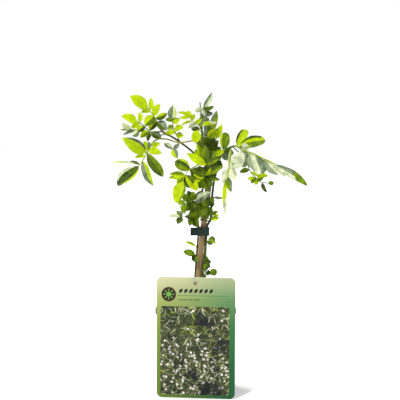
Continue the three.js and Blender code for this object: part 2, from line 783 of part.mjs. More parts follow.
function potSolid() {
  const { height, rimRadius, rimDepth, baseRadius, neckRadius, wall, floor } = POT;
  const shoulder = height - rimDepth;
  let pot = lathe(
    [
      [0, 0],
      [baseRadius, 0],
      [neckRadius, shoulder],
      [rimRadius, shoulder],
      [rimRadius, height - 0.8],
      [rimRadius - 0.8, height],
      [rimRadius - 2, height],
      [wallRadius(height - 2) - wall, height - 2],
      [wallRadius(floor) - wall, floor],
      [0, floor],
    ],
    POT_SEGMENTS,
  );
  for (let i = 0; i < DRAIN.count; i += 1) {
    const angle = ((i + 0.5) / DRAIN.count) * 2 * Math.PI;
    const drill = new THREE.CylinderGeometry(DRAIN.radius, DRAIN.radius, floor * 4, DRAIN.sides);
    drill.rotateX(Math.PI / 2);
    drill.translate(DRAIN.ring * Math.cos(angle), DRAIN.ring * Math.sin(angle), floor / 2);
    pot = pot.subtract(solidOf(drill));
  }
  return pot;
}

function soilSolid() {
  const inner = (z) => wallRadius(z) - POT.wall - GAP;
  const bottom = POT.floor + GAP;
  const edge = SOIL.top - 2;
  const profile = [
    [0, bottom],
    [inner(bottom), bottom],
    [inner(edge), edge],
  ];
  for (const radius of [30, 15]) {
    profile.push([radius, SOIL.top + SOIL.unevenness * Math.sin(radius * 1.7)]);
  }
  profile.push([0, SOIL.top]);
  return lathe(profile, POT_SEGMENTS);
}

// Clips: a band round cane and stems, with a flat tab on its left

function roundedRectangle(shape, left, bottom, width, height, radius) {
  const right = left + width;
  const top = bottom + height;
  shape.moveTo(left + radius, bottom);
  shape.lineTo(right - radius, bottom);
  shape.absarc(right - radius, bottom + radius, radius, -Math.PI / 2, 0, false);
  shape.lineTo(right, top - radius);
  shape.absarc(right - radius, top - radius, radius, 0, Math.PI / 2, false);
  shape.lineTo(left + radius, top);
  shape.absarc(left + radius, top - radius, radius, Math.PI / 2, Math.PI, false);
  shape.lineTo(left, bottom + radius);
  shape.absarc(left + radius, bottom + radius, radius, Math.PI, Math.PI * 1.5, false);
  return shape;
}

// inside is the clear room in the band, in plan; the tab starts inside the band's left wall.
function clipSolid(inside, middleHeight, tab) {
  const { height, wall, tabThickness, corner } = CLIP;
  const { left, right, front, back } = inside;
  const width = right - left;
  const depth = back - front;
  const band = roundedRectangle(
    new THREE.Shape(), left - wall, front - wall, width + 2 * wall, depth + 2 * wall, corner + wall,
  );
  band.holes.push(roundedRectangle(new THREE.Path(), left, front, width, depth, corner));
  const options = { depth: height, bevelEnabled: false, curveSegments: CORNER_STEPS.clip };
  const ring = new THREE.ExtrudeGeometry(band, options);
  ring.translate(0, 0, middleHeight - height / 2);
  const plate = new THREE.BoxGeometry(tab.length, tabThickness, height);
  plate.translate(-tab.length / 2, 0, 0);
  plate.rotateY(THREE.MathUtils.degToRad(-tab.drop));
  plate.translate(left - wall * 0.3, front + corner, middleHeight + tab.rise);
  const room = new THREE.BoxGeometry(width, depth, height * 3);
  room.translate((left + right) / 2, (front + back) / 2, middleHeight);
  return solidOf(ring).add(solidOf(plate).subtract(solidOf(room)));
}

const CLIPS = {
  clip_lower: {
    inside: { left: 1.6, right: 14.3, front: -3.8, back: 5 },
    height: 174.8,
    tab: { length: 7.2, drop: 0, rise: 0 },
  },
  clip_upper: {
    inside: { left: 9.2, right: 20.2, front: -5, back: 4 },
    height: 242,
    tab: { length: 11, drop: 38, rise: 1 },
  },
};

// Label and its string

function labelSolid() {
  const { width, height, thickness, corner, clearUnder, lean, turn } = LABEL;
  const card = roundedRectangle(new THREE.Shape(), -width / 2, 0, width, height, corner);
  const hole = new THREE.Path();
  hole.absarc(LABEL_HOLE.aside, height - LABEL_HOLE.below, LABEL_HOLE.radius, 0, 2 * Math.PI, true);
  card.holes.push(hole);
  const options = { depth: thickness, bevelEnabled: false, curveSegments: CORNER_STEPS.label };
  const geometry = new THREE.ExtrudeGeometry(card, options);
  geometry.rotateX(Math.PI / 2);
  const leaning = THREE.MathUtils.degToRad(lean);
  const turning = THREE.MathUtils.degToRad(turn);
  geometry.rotateY(leaning);
  // It stands against the rim, turned so that its right edge is the nearer one.
  const standOff = POT.rimRadius + GAP;
  geometry.translate(standOff * Math.tan(turning), -standOff, clearUnder + (width / 2) * Math.sin(leaning));
  geometry.rotateZ(-turning);
  return solidOf(geometry);
}

function stringSolid() {
  const section = new THREE.Shape();
  section.absarc(0, 0, STRING.diameter / 2, 0, 2 * Math.PI, false);
  const curve = curveThrough(STRING_ROUTE.map(([u, v, y]) => seen(u, v, y)));
  return solidOf(
    new THREE.ExtrudeGeometry(section, {
      steps: STRING.steps,
      bevelEnabled: false,
      curveSegments: STRING.sides / 2,
      extrudePath: curve,
    }),
  );
}

// Materials

const finish = (color, roughness) => new THREE.MeshStandardMaterial({ color, roughness, metalness: 0 });
const FINISHES = {
  pot: finish(0x2b2d2e, 0.6),
  soil: finish(0x3a2a1e, 0.95),
  cane: finish(0xa8875b, 0.65),
  clip: finish(0x25352c, 0.45),
  label: finish(0x86a269, 0.4),
  string: finish(0xe8ece6, 0.3),
  stem: finish(0x6f8a3a, 0.6),
  leaf: finish(0x8fb31a, 0.5),
};

// Assembly

const plant = new THREE.Group();

function place(name, solid, material) {
  const mesh = new THREE.Mesh(geometryOf(solid), material);
  mesh.name = name;
  plant.add(mesh);
}

const stemRooms = new Map(Object.keys(STEMS).map((name) => [name, stemSolid(name, GAP)]));
const frondSolids = new Map();

for (const frond of FRONDS) {
  const carrier = stemRooms.get(frond.on) ?? frondSolids.get(frond.on);
  frondSolids.set(frond.name, largest(frondSolid(frond).subtract(carrier)));
}

let soil = soilSolid().subtract(caneSolid(GAP));
for (const name of ["stem_left", "stem_right", "stem_leader"]) {
  soil = soil.subtract(stemRooms.get(name));
}

place("pot", potSolid(), FINISHES.pot);
place("soil", largest(soil), FINISHES.soil);
place("cane", caneSolid(0), FINISHES.cane);
for (const [name, { inside, height, tab }] of Object.entries(CLIPS)) {
  place(name, clipSolid(inside, height, tab), FINISHES.clip);
}
place("label", labelSolid(), FINISHES.label);
place("label_string", stringSolid(), FINISHES.string);
for (const [name, { on }] of Object.entries(STEMS)) {
  const stem = stemSolid(name, 0);
  place(name, on ? largest(stem.subtract(stemRooms.get(on))) : stem, FINISHES.stem);
}
for (const [name, solid] of frondSolids) {
  place(name, solid, FINISHES.leaf);
}

export default plant;
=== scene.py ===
# %% [markdown]
# # A young common jasmine in its nursery pot
#
# The plant was drawn as solids first: a pot with soil, a bamboo cane, four stems, two clips, a
# hanging care label and some thirty pinnate leaves. Solids are good for size and collision, but
# their leaves are flat facets. This notebook dresses them: it loads the solids as a fixed frame,
# builds a finer piece in the place of each, and gives every surface a procedural finish.
#
# Everything is in metres, with the origin in the middle of the pot's underside, +Z up and the
# front towards -Y.

# %% Load the frame
import math
import random
from functools import partialmethod

import bpy
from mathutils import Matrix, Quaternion, Vector
from mathutils import noise as field


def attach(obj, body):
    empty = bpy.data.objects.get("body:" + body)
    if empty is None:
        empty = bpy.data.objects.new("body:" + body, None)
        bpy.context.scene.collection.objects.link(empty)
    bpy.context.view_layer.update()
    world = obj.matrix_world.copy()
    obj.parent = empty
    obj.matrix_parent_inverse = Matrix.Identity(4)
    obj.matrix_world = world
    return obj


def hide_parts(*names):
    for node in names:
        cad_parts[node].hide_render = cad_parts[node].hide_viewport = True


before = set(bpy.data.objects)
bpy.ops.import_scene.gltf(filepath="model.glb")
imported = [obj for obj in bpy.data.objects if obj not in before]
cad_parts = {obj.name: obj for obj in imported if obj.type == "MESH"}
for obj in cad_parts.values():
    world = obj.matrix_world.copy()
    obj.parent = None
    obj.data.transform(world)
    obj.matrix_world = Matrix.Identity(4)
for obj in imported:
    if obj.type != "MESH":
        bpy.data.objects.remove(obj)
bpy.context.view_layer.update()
MM = 0.001

# %% [markdown]
# ## The camera
#
# The plant is seen from the front, a little from above, at about arm's length. A long lens keeps
# the pot's edges nearly upright, as a product picture does. The same eye point is used below to
# set out the curves, so it is written down once here.

# %% Place the camera
RANGE, ABOVE, HALF_FIELD = 1.1, math.radians(5), 0.22
AIM = Vector((4.7, 0, 209.6)) * MM
UP = Vector((0, math.sin(ABOVE), math.cos(ABOVE)))
BACK = Vector((0, -math.cos(ABOVE), math.sin(ABOVE)))
EYE = AIM + BACK * RANGE


def put(name, data, place=(0, 0, 0), looks=None):
    """Adds an object to the scene. looks is the way that a camera or a light points."""
    made = bpy.data.objects.new(name, data)
    bpy.context.scene.collection.objects.link(made)
    made.location = place
    if looks is not None:
        made.rotation_euler = looks.to_track_quat("-Z", "Y").to_euler()
    return made


lens = bpy.data.cameras.new("camera")
lens.sensor_width = 36
lens.lens = lens.sensor_width / 2 * RANGE / HALF_FIELD
lens.clip_start, lens.clip_end = 0.05, 20
camera = put("camera", lens, EYE, -BACK)
bpy.context.scene.camera = camera
print("camera:", round(lens.lens, 1), "mm lens at", tuple(round(x, 3) for x in camera.location))

# %% [markdown]
# ## Lines through space
#
# Stems, ribs and the string are all smooth lines through a few points. A curve with handles
# would do, but a centripetal spline needs none: it passes through every point and makes no
# loops where the points stand close. `seen` turns a place in the front view into a place in
# space: u is millimetres right of the pot's axis and v is millimetres up, as both show on an
# upright sheet that faces the camera at the axis, and y is how many millimetres behind the axis
# the point really is. Routes are written as text, "u v y, u v y", and `places` reads it.

# %% Points of the front view


def seen(u, v, y):
    """The point y behind the axis that shows at (u, v) in the front view, from millimetres."""
    drawn = AIM + UP * (v * MM - AIM.z)
    drawn.x = u * MM
    return EYE.lerp(drawn, (y * MM - EYE.y) / (drawn.y - EYE.y))


def places(text):
    return [seen(*map(float, spot.split())) for spot in text.split(",")]


print("the leader's tip:", [round(x, 4) for x in seen(4.6, 317, 0.5)])

# %% Smooth routes


class Route:
    """A smooth line through points. Places on it are given as a share of its length."""

    FINE = 20  # short lines between two points
    GLANCE = 0.004  # how far to each side a heading looks

    def __init__(self, points):
        first, last = 2 * points[0] - points[1], 2 * points[-1] - points[-2]
        padded = [first, *points, last]
        self.line = [points[0]]
        for a, b, c, d in zip(padded, padded[1:], padded[2:], padded[3:]):
            before, here, after = [math.sqrt((q - p).length) for p, q in ((a, b), (b, c), (c, d))]
            leave = ((b - a) / before - (c - a) / (before + here) + (c - b) / here) * here
            reach = ((c - b) / here - (d - b) / (here + after) + (d - c) / after) * here
            bend = -3 * b + 3 * c - 2 * leave - reach
            turn = 2 * b - 2 * c + leave + reach
            for i in range(1, self.FINE + 1):
                t = i / self.FINE
                self.line.append(b + leave * t + bend * t * t + turn * t**3)
        self.upto = [0.0]
        for p, q in zip(self.line, self.line[1:]):
            self.upto.append(self.upto[-1] + (q - p).length)
        self.length = self.upto[-1]

    def at(self, share):
        wanted = min(max(share, 0.0), 1.0) * self.length
        low, high = 0, len(self.upto) - 1
        while high - low > 1:
            middle = (low + high) // 2
            low, high = (middle, high) if self.upto[middle] <= wanted else (low, middle)
        span = self.upto[high] - self.upto[low]
        return self.line[low].lerp(self.line[high], (wanted - self.upto[low]) / span)

    def heading(self, share):
        ahead, behind = min(share + self.GLANCE, 1), max(share - self.GLANCE, 0)
        return (self.at(ahead) - self.at(behind)).normalized()

    def nearest(self, place):
        """The distance of the line's nearest point, and its share of the length."""
        gap, best = min(((p - place).length, i) for i, p in enumerate(self.line))
        return gap, self.upto[best] / self.length

    def height(self, z):
        """The first point of the line at that height, for lines that climb."""
        for p, q in zip(self.line, self.line[1:]):
            if q.z >= z:
                return p.lerp(q, max(0.0, (z - p.z) / (q.z - p.z)))
        return self.line[-1]


print("a test line of three points:", round(Route(places("0 0 0, 0 50 0, 0 100 0")).length, 4), "m")

# %% [markdown]
# ## The elastic string
#
# The care label hangs on a thin pale elastic. It leaves the label's punched hole, runs out round
# both sides of the stems and cane, passes behind them and comes back to the same hole.
# The picture shows it from end to end, so its length is what the route measures. A curve with a
# round bevel draws it, and is then turned into a mesh, which takes its flat map and its bounds.

# %% Run the string from the label's hole and back
STRING_THICK, STRING_STEPS = 0.9 * MM, 150
string_route = Route(places(
    "-0.5 118.7 -46.1, -0.9 119 -47.3, -2.6 121.8 -47.5, -5 126 -46.2, -8.2 131.2 -39, -9.6 135 -30,"
    "-8.6 139.2 -20, -5.4 143.8 -9, -1.6 146.6 1, 2.4 147.2 9.4, 7.6 146.8 11, 12.8 144.4 8.6,"
    "16.6 140.6 1, 19.4 137 -7, 22.6 134.6 -15, 29.6 132.3 -25, 36 128.6 -35, 40 124.4 -42,"
    "37.6 119.4 -44.2, 28.8 115.4 -44.2, 15 113.8 -44.2, 4.6 116 -44.3, 0.8 117.7 -44.7, 0.5 118 -45.2"
))
string_path = [string_route.at(i / STRING_STEPS) for i in range(STRING_STEPS + 1)]


def evaluated(made):
    """The mesh that an object's curve or modifiers come to."""
    return bpy.data.meshes.new_from_object(made.evaluated_get(bpy.context.evaluated_depsgraph_get()))


line = bpy.data.curves.new("string_line", "CURVE")
line.dimensions = "3D"
line.bevel_depth, line.bevel_resolution = STRING_THICK / 2, 3
line.use_fill_caps = True
spline = line.splines.new("POLY")
spline.points.add(STRING_STEPS)
for point, place in zip(spline.points, string_path):
    point.co = (*place, 1)
drawn = put("string_line", line)
tube = evaluated(drawn)
bpy.data.objects.remove(drawn)
tube.polygons.foreach_set("use_smooth", [True] * len(tube.polygons))
elastic_string = put("elastic_string", tube)
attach(elastic_string, "root")
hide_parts("label_string")
tuple(string_route.at(0))
[tuple(place) for place in string_path]
print("string:", round(string_route.length, 4), "m")

# %% [markdown]
# ## The floor and the light
#
# A white sweep of floor and a white sky give the clean ground of a catalogue picture. The plant
# itself looks sunlit: a sun stands high on the left and in front, small enough to draw the folds
# of the leaves, and the sky fills the shadows. The sky is dimmer as a lamp than it is as a
# backdrop. Two soft lamps behind the plant shine through the leaves, which is what makes young
# jasmine look yellow.

# %% Light the stage
FLOOR_REACH = 6.0
BACKDROP, FILL = 1.0, 0.6
PLANT_MIDDLE = Vector((0, 0, 0.2))

floor_mesh = bpy.data.meshes.new("floor")
square = [(x * FLOOR_REACH, y * FLOOR_REACH, 0) for x, y in ((-1, -1), (1, -1), (1, 1), (-1, 1))]
floor_mesh.from_pydata(square, [], [(0, 1, 2, 3)])
floor = put("floor", floor_mesh)

sky = bpy.data.worlds.new("sky")
sky.use_nodes = True
nodes, links = sky.node_tree.nodes, sky.node_tree.links
nodes["Background"].inputs["Color"].default_value = (1, 1, 1, 1)
rays = nodes.new("ShaderNodeLightPath")
brightness = nodes.new("ShaderNodeMapRange")
brightness.inputs["To Min"].default_value, brightness.inputs["To Max"].default_value = FILL, BACKDROP
links.new(rays.outputs["Is Camera Ray"], brightness.inputs["Value"])
links.new(brightness.outputs["Result"], nodes["Background"].inputs["Strength"])
bpy.context.scene.world = sky

sun = bpy.data.lights.new("sun", "SUN")
sun.energy, sun.angle = 3.0, math.radians(7)
put("sun", sun, looks=Vector((0.4, 0.62, -1.0)))
# place, watts, size
LAMPS = {"back_left": ((-1.1, 1.2, 1.1), 30, 0.5), "back_right": ((1.2, 1.0, 0.9), 14, 0.6)}
for name, (place, watts, size) in LAMPS.items():
    light = bpy.data.lights.new(name, "AREA")
    light.energy, light.size = watts, size
    put(name, light, place, PLANT_MIDDLE - Vector(place))
bpy.context.scene.view_settings.view_transform = "Standard"

# %% [markdown]
# ## A short way to write materials
#
# A procedural material is a sum: a colour, times a mask, plus a little noise. Drawn as nodes it
# takes a screenful, so a small class stands for a node's output and lets Python's own operators
# add the Math nodes. `1 - mask` works as well as `mask - 1`. Colours never go through Math,
# which would turn them grey; they are mixed by `tint`, and `painted` lays several in a row.

# %% A wire between nodes


class Wire:
    """A node's output. Arithmetic on it adds Math nodes to the same material."""

    def __init__(self, tree, socket):
        self.tree, self.socket = tree, socket

    def node(self, kind, settings=None, sockets=None, out=0):
        """Any other node: first its settings, then the values or wires of its sockets."""
        made = self.tree.nodes.new("ShaderNode" + kind)
        for name, value in (settings or {}).items():
            if name == "stops":
                ramp = made.color_ramp
                while len(ramp.elements) < len(value):
                    ramp.elements.new(1)
                for stop, (position, colour) in zip(ramp.elements, value):
                    stop.position, stop.color = position, colour
            else:
                setattr(made, name, value)
        for name, value in (sockets or {}).items():
            if isinstance(value, Wire):
                self.tree.links.new(value.socket, made.inputs[name])
            else:
                made.inputs[name].default_value = value
        return Wire(self.tree, made.outputs[out]) if made.outputs else None

    def math(self, operation, other=0.0):
        return self.node("Math", {"operation": operation}, {0: self, 1: other})

    __add__ = __radd__ = partialmethod(math, "ADD")
    __mul__ = __rmul__ = partialmethod(math, "MULTIPLY")
    __sub__ = partialmethod(math, "SUBTRACT")
    __truediv__ = partialmethod(math, "DIVIDE")
    __pow__ = partialmethod(math, "POWER")
    __abs__ = partialmethod(math, "ABSOLUTE")

    def __rsub__(self, other):
        return (self * -1) + other


print("a wire can:", ", ".join(name.strip("_") for name in list(vars(Wire))[3:-2]))

# %% Masks, colours and noise


def ease(value, low, high):
    """0 below low and 1 above high, with a soft step between. low may be the larger."""
    settings = {"interpolation_type": "SMOOTHSTEP"}
    return value.node("MapRange", settings, {"Value": value, "From Min": low, "From Max": high})


def rgb(red, green, blue):
    """A screen colour, 0 to 255 a channel, as the linear light that Blender reckons with."""
    def linear(level):
        share = level / 255
        return share / 12.92 if share <= 0.04045 else ((share + 0.055) / 1.055) ** 2.4
    return (linear(red), linear(green), linear(blue), 1.0)


def tint(mask, colour, other):
    """colour where the mask is 0 and other where it is 1."""
    ends = [value if isinstance(value, Wire) else rgb(*value) for value in (colour, other)]
    settings = {"data_type": "RGBA", "clamp_factor": True}
    return mask.node("Mix", settings, {0: mask, 6: ends[0], 7: ends[1]}, out=2)


def painted(colour, *coats):
    """Lays coats over a colour, one after another. A coat is a mask and the colour that it brings."""
    for mask, other in coats:
        colour = tint(mask, colour, other)
    return colour


def run_of(value, stops):
    """Colours that follow each other as value goes from 0 to 1."""
    settings = {"stops": [(share, rgb(*colour)) for share, colour in stops]}
    return value.node("ValToRGB", settings, {"Fac": value})


def noise(place, scale, detail=2.0, rough=0.5):
    """Cloudy noise between about 0.3 and 0.7. scale is features a metre, or a unit of place."""
    sockets = {"Vector": place, "Scale": scale, "Detail": detail, "Roughness": rough}
    return place.node("TexNoise", {}, sockets)


def specks(place, scale, large, small):
    """Round specks, one in each cell of a cell texture: 0 outside large and 1 inside small."""
    return ease(place.node("TexVoronoi", {}, {"Vector": place, "Scale": scale}), large, small)


def stretched(place, x=1.0, y=1.0, z=1.0):
    """place with each axis multiplied, so that a pattern runs along one of them."""
    return place.node("VectorMath", {"operation": "MULTIPLY"}, {0: place, 1: (x, y, z)})


def part_of(place, axis):
    return place.node("SeparateXYZ", {}, {0: place}, out=axis)


print("a screen's middle grey gives back", round(rgb(128, 128, 128)[0], 3), "of the light")

# %% Begin and end a material
MATERIALS = {}


def begin(name, where="Object"):
    """Starts a material and hands back its coordinates: in metres, or in the piece's own map."""
    material = bpy.data.materials.new(name)
    material.use_nodes = True
    material.node_tree.nodes.clear()
    MATERIALS[name] = material
    return Wire(material.node_tree, None).node("TexCoord", out=where)


def surface(place, colour, roughness, height=None, relief=0.0, through=None, shine=0.5):
    """Ends a material. height in metres goes through a bump; through = (share, colour) lets light in."""
    sockets = {"Base Color": colour, "Roughness": roughness, "Specular IOR Level": shine}
    if height is not None:
        sockets["Normal"] = place.node("Bump", {}, {"Height": height, "Distance": relief, "Strength": 1.0})
    shader = place.node("BsdfPrincipled", {}, sockets)
    if through:
        share, glow = through
        sheer = place.node("BsdfTranslucent", {}, {"Color": rgb(*glow)})
        shader = place.node("MixShader", {}, {0: share, 1: shader, 2: sheer})
    place.node("OutputMaterial", {}, {"Surface": shader})


place = begin("stage_white")
surface(place, (0.9, 0.9, 0.9, 1), 0.9)
floor_mesh.materials.append(MATERIALS["stage_white"])
print("first material:", list(MATERIALS))

# %% [markdown]
# ## The string's finish
#
# The elastic is clear and milky. It shows pale where it crosses the foliage and is hard to see
# against a light ground.

# %% Finish the string
place = begin("milky_elastic")
cloud = noise(place, 700, 2)
colour = tint(cloud, (148, 152, 136), (174, 178, 162))
surface(place, colour, 0.4 + cloud * 0.1, cloud * MM, 0.1, shine=0.2)
elastic_string.data.materials.append(MATERIALS["milky_elastic"])
print("string finish:", elastic_string.data.materials[0].name)

# %% [markdown]
# ## Drawing a piece
#
# Each piece is drawn as corners and faces, so its form is exact and the same on every run. A
# draft also keeps a flat map for each corner, which the leaf and stem finishes read: along the
# piece, across it, and which leaf it is.

# %% A draft of a mesh


class Draft:
    """Corners, faces, finishes and a flat map, until they become a piece."""

    def __init__(self):
        self.corners, self.map, self.faces, self.finish = [], [], [], []

    def corner(self, place, across=0.0, along=0.0):
        self.corners.append(place)
        self.map.append((across, along))
        return len(self.corners) - 1

    def face(self, corners, finish=0):
        self.faces.append(corners)
        self.finish.append(finish)

    def skin(self, rows, finish=0, wrap=False):
        """Quads between rows of as many corners, or triangles where a row is all one corner."""
        for low, high in zip(rows, rows[1:]):
            count = len(low)
            for k in range(count if wrap else count - 1):
                after = (k + 1) % count
                self.face(list(dict.fromkeys([low[k], low[after], high[after], high[k]])), finish)

    def ring(self, radius, height, sides):
        """A row round the pot's axis, in millimetres. height may be a function of x and y."""
        level = height if callable(height) else lambda x, y: height
        if radius == 0:
            return [self.corner(Vector((0, 0, level(0, 0))) * MM)] * sides
        row = []
        for k in range(sides):
            angle = 2 * math.pi * k / sides
            x, y = math.cos(angle) * radius, math.sin(angle) * radius
            place = Vector((x, y, level(x, y))) * MM
            row.append(self.corner(place, k / sides, place.z))
        return row

    def tube(self, route, radius, sides, rings, finish=0, open_end=False):
        """A round tube on a route. radius is a function of the share of its length."""
        ahead = route.heading(0)
        across = ahead.orthogonal().normalized()
        rows = []
        for i in range(rings + 1):
            share = i / rings
            turned = route.heading(share)
            across.rotate(ahead.rotation_difference(turned))
            ahead, beside = turned, turned.cross(across)
            middle, reach = route.at(share), radius(share)
            row = []
            for k in range(sides):
                angle = 2 * math.pi * k / sides
                spoke = across * math.cos(angle) + beside * math.sin(angle)
                row.append(self.corner(middle + spoke * reach, k / sides, share))
            rows.append(row)
        self.skin(rows, finish, wrap=True)
        self.face(rows[0][::-1], finish)
        if not open_end:
            self.face(rows[-1], finish)
        return rows

    def mesh(self, name):
        made = bpy.data.meshes.new(name)
        made.from_pydata(self.corners, [], self.faces)
        return made

    def piece(self, name, finishes, node, slot, crease=45):
        """Makes the object: it rides on the part's one body and hides the solid it replaces."""
        mesh = self.mesh(name)
        for finish in finishes:
            mesh.materials.append(MATERIALS[finish])
        mesh.polygons.foreach_set("material_index", self.finish)
        flat = mesh.uv_layers.new(name="flat_map")
        flat.data.foreach_set("uv", [x for loop in mesh.loops for x in self.map[loop.vertex_index]])
        mesh.shade_smooth()
        mesh.set_sharp_from_angle(angle=math.radians(crease))
        mesh.update()
        made = put(name, mesh)
        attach(made, "root")
        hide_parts(node)
        return made


print("a draft can make:", [name for name in vars(Draft) if name[0] != "_"])

# %% [markdown]
# ## Leaf finishes
#
# A jasmine leaflet is thin and slightly glossy above, paler and matt below, with a sunk midrib
# and several pairs of side veins that curve towards the tip. All of it is drawn from the leaf's
# own flat map, so the veins follow each leaf however it is folded. The whole number in the map's
# first coordinate says which leaf it is, and a white noise of it makes no two alike. Light comes
# through the blade as well: a Translucent shader takes a fixed share of each finish.

# %% Leaf finishes
LEAF_MAP_HALF = 0.45  # half a leaf's width in the flat map
VEIN_PAIRS, VEIN_SLANT, VEIN_STAGGER = 8, 1.3, 0.45


def leaf_finish(name, deep, bright, vein, glow, share, gloss, relief):
    """Mottled between two colours, with veins of a third, and light of the colour glow let through."""
    flat = begin(name, "UV")
    place = flat.node("TexCoord", out="Object")
    number, along = part_of(flat, 0), part_of(flat, 1)
    luck = flat.node("TexWhiteNoise", {"noise_dimensions": "1D"}, {"W": number.math("FLOOR")})
    across = (number.math("FRACT") - 0.5) / LEAF_MAP_HALF
    side = abs(across)
    midrib = ease(side, 0.11, 0.02)
    stagger = across.math("GREATER_THAN") * VEIN_STAGGER
    ladder = (along * VEIN_PAIRS - side * VEIN_SLANT + stagger).math("FRACT")
    rungs = ease(abs(ladder - 0.5), 0.16, 0.02) * ease(side, 0.97, 0.6) * ease(along, 0.98, 0.8)
    veins = midrib.math("MAXIMUM", rungs * 0.55)
    mottle = noise(place, 170, 2)
    # the deep colour again towards each margin is painted shade where the edges curl
    colour = painted(
        deep, (ease(mottle + luck * 0.3, 0.35, 0.85), bright), (veins * 0.6, vein),
        (ease(side, 0.7, 1.05) * 0.35, deep),
    )
    height = (veins * -0.5 + noise(place, 2600) * 0.05 + mottle * 0.5) * MM
    surface(place, colour, gloss + mottle * 0.2, height, relief, through=(share, glow), shine=0.2)


# The tones are partly the leaves' own colour and partly painted light: yellow is young leaf colour
# brightened as painted sunlight, green is the plain mid tone, dark is painted shade, teal is painted shade
# with a painted bluish sheen, and pale is the paler underside with a painted sheen.
# name, deep, bright, vein, glow, share let through, gloss, relief: one row for each tone's face
LEAF_TONES = {
    "Y": ("leaf_yellow_sunlit", (146, 168, 0), (200, 216, 0), (122, 144, 0), (216, 230, 0), 0.42, 0.5, 0.25),
    "M": ("leaf_green", (78, 104, 0), (142, 166, 0), (84, 110, 0), (150, 182, 0), 0.34, 0.46, 0.3),
    "D": ("leaf_dark_shaded", (28, 46, 0), (82, 106, 4), (98, 122, 20), (80, 116, 0), 0.14, 0.42, 0.35),
    "G": ("leaf_teal_shaded_sheen", (66, 86, 54), (134, 150, 116), (162, 176, 136), (110, 150, 30), 0.16, 0.44, 0.35),
    "P": ("leaf_pale_sheen", (158, 172, 142), (232, 234, 206), (176, 188, 150), (226, 236, 160), 0.3, 0.55, -0.3),
}
UNDERSIDES = {
    "Y": ("under_yellow", (156, 180, 20), (196, 214, 40), (140, 162, 20), (226, 244, 0), 0.42, 0.6, -0.4),
    "M": ("under_green", (94, 120, 40), (136, 160, 62), (106, 134, 50), (140, 180, 10), 0.3, 0.6, -0.4),
}
for tone in (*LEAF_TONES.values(), *UNDERSIDES.values()):
    leaf_finish(*tone)
# the two sides of a leaf of each tone
SIDES = {code: (tone[0], UNDERSIDES.get(code, tone)[0]) for code, tone in LEAF_TONES.items()}
SIDES["D"] = LEAF_TONES["D"][0], UNDERSIDES["M"][0]
print("leaf finishes:", SIDES)

# %% [markdown]
# ## Stem and rib finishes
#
# Young jasmine stems are smooth, angled and green. They turn tan and faintly woody with age and
# reddish where the sun reaches them. Each stem gets its own run of colours from root to tip,
# read from the map's second coordinate, with fine lengthwise streaks and sparse pale dots.

# %% Stem finishes


def bark(name, gloss, streak, *stops):
    """Colours from root to tip, with streaks along the stem and pale breathing dots."""
    flat = begin(name, "UV")
    place = flat.node("TexCoord", out="Object")
    streaks = noise(stretched(flat, 14, 5), 1, 3)
    dots = specks(place, 420, 0.16, 0.06)
    along = run_of(part_of(flat, 1), stops)
    colour = painted(along, (ease(streaks, 0.42, 0.68) * 0.5, streak), (dots * 0.3, (176, 176, 120)))
    height = (streaks * 0.5 + dots * 0.4 + noise(place, 1500) * 0.3) * MM
    surface(place, colour, gloss + streaks * 0.2, height, 0.22, shine=0.15)


for name, streak, *stops in (
    ("bark_left", (46, 62, 12), (0, (86, 92, 40)), (0.5, (74, 96, 22)), (0.66, (64, 86, 14)),
     (0.93, (52, 66, 14)), (1, (170, 132, 104))),
    ("bark_right", (30, 50, 12), (0, (72, 80, 34)), (0.55, (52, 80, 18)), (0.8, (40, 72, 12)),
     (1, (60, 96, 16))),
    ("bark_leader", (58, 72, 24), (0, (90, 94, 44)), (0.5, (82, 98, 34)), (0.8, (96, 112, 24)),
     (1, (112, 128, 22))),
    ("bark_side", (110, 104, 50), (0, (150, 140, 62)), (0.35, (160, 146, 84)), (0.7, (152, 144, 64)),
     (1, (140, 138, 30))),
    ("bark_twine", (66, 72, 36), (0, (104, 104, 52)), (0.5, (112, 120, 66)), (1, (104, 124, 52))),
    ("rib_yellow", (140, 156, 20), (0, (120, 140, 10)), (1, (158, 172, 6))),
    ("rib_green", (60, 84, 20), (0, (70, 96, 22)), (1, (104, 130, 20))),
):
    bark(name, 0.38 if name.startswith("rib") else 0.42, streak, *stops)
print("finishes so far:", len(MATERIALS))
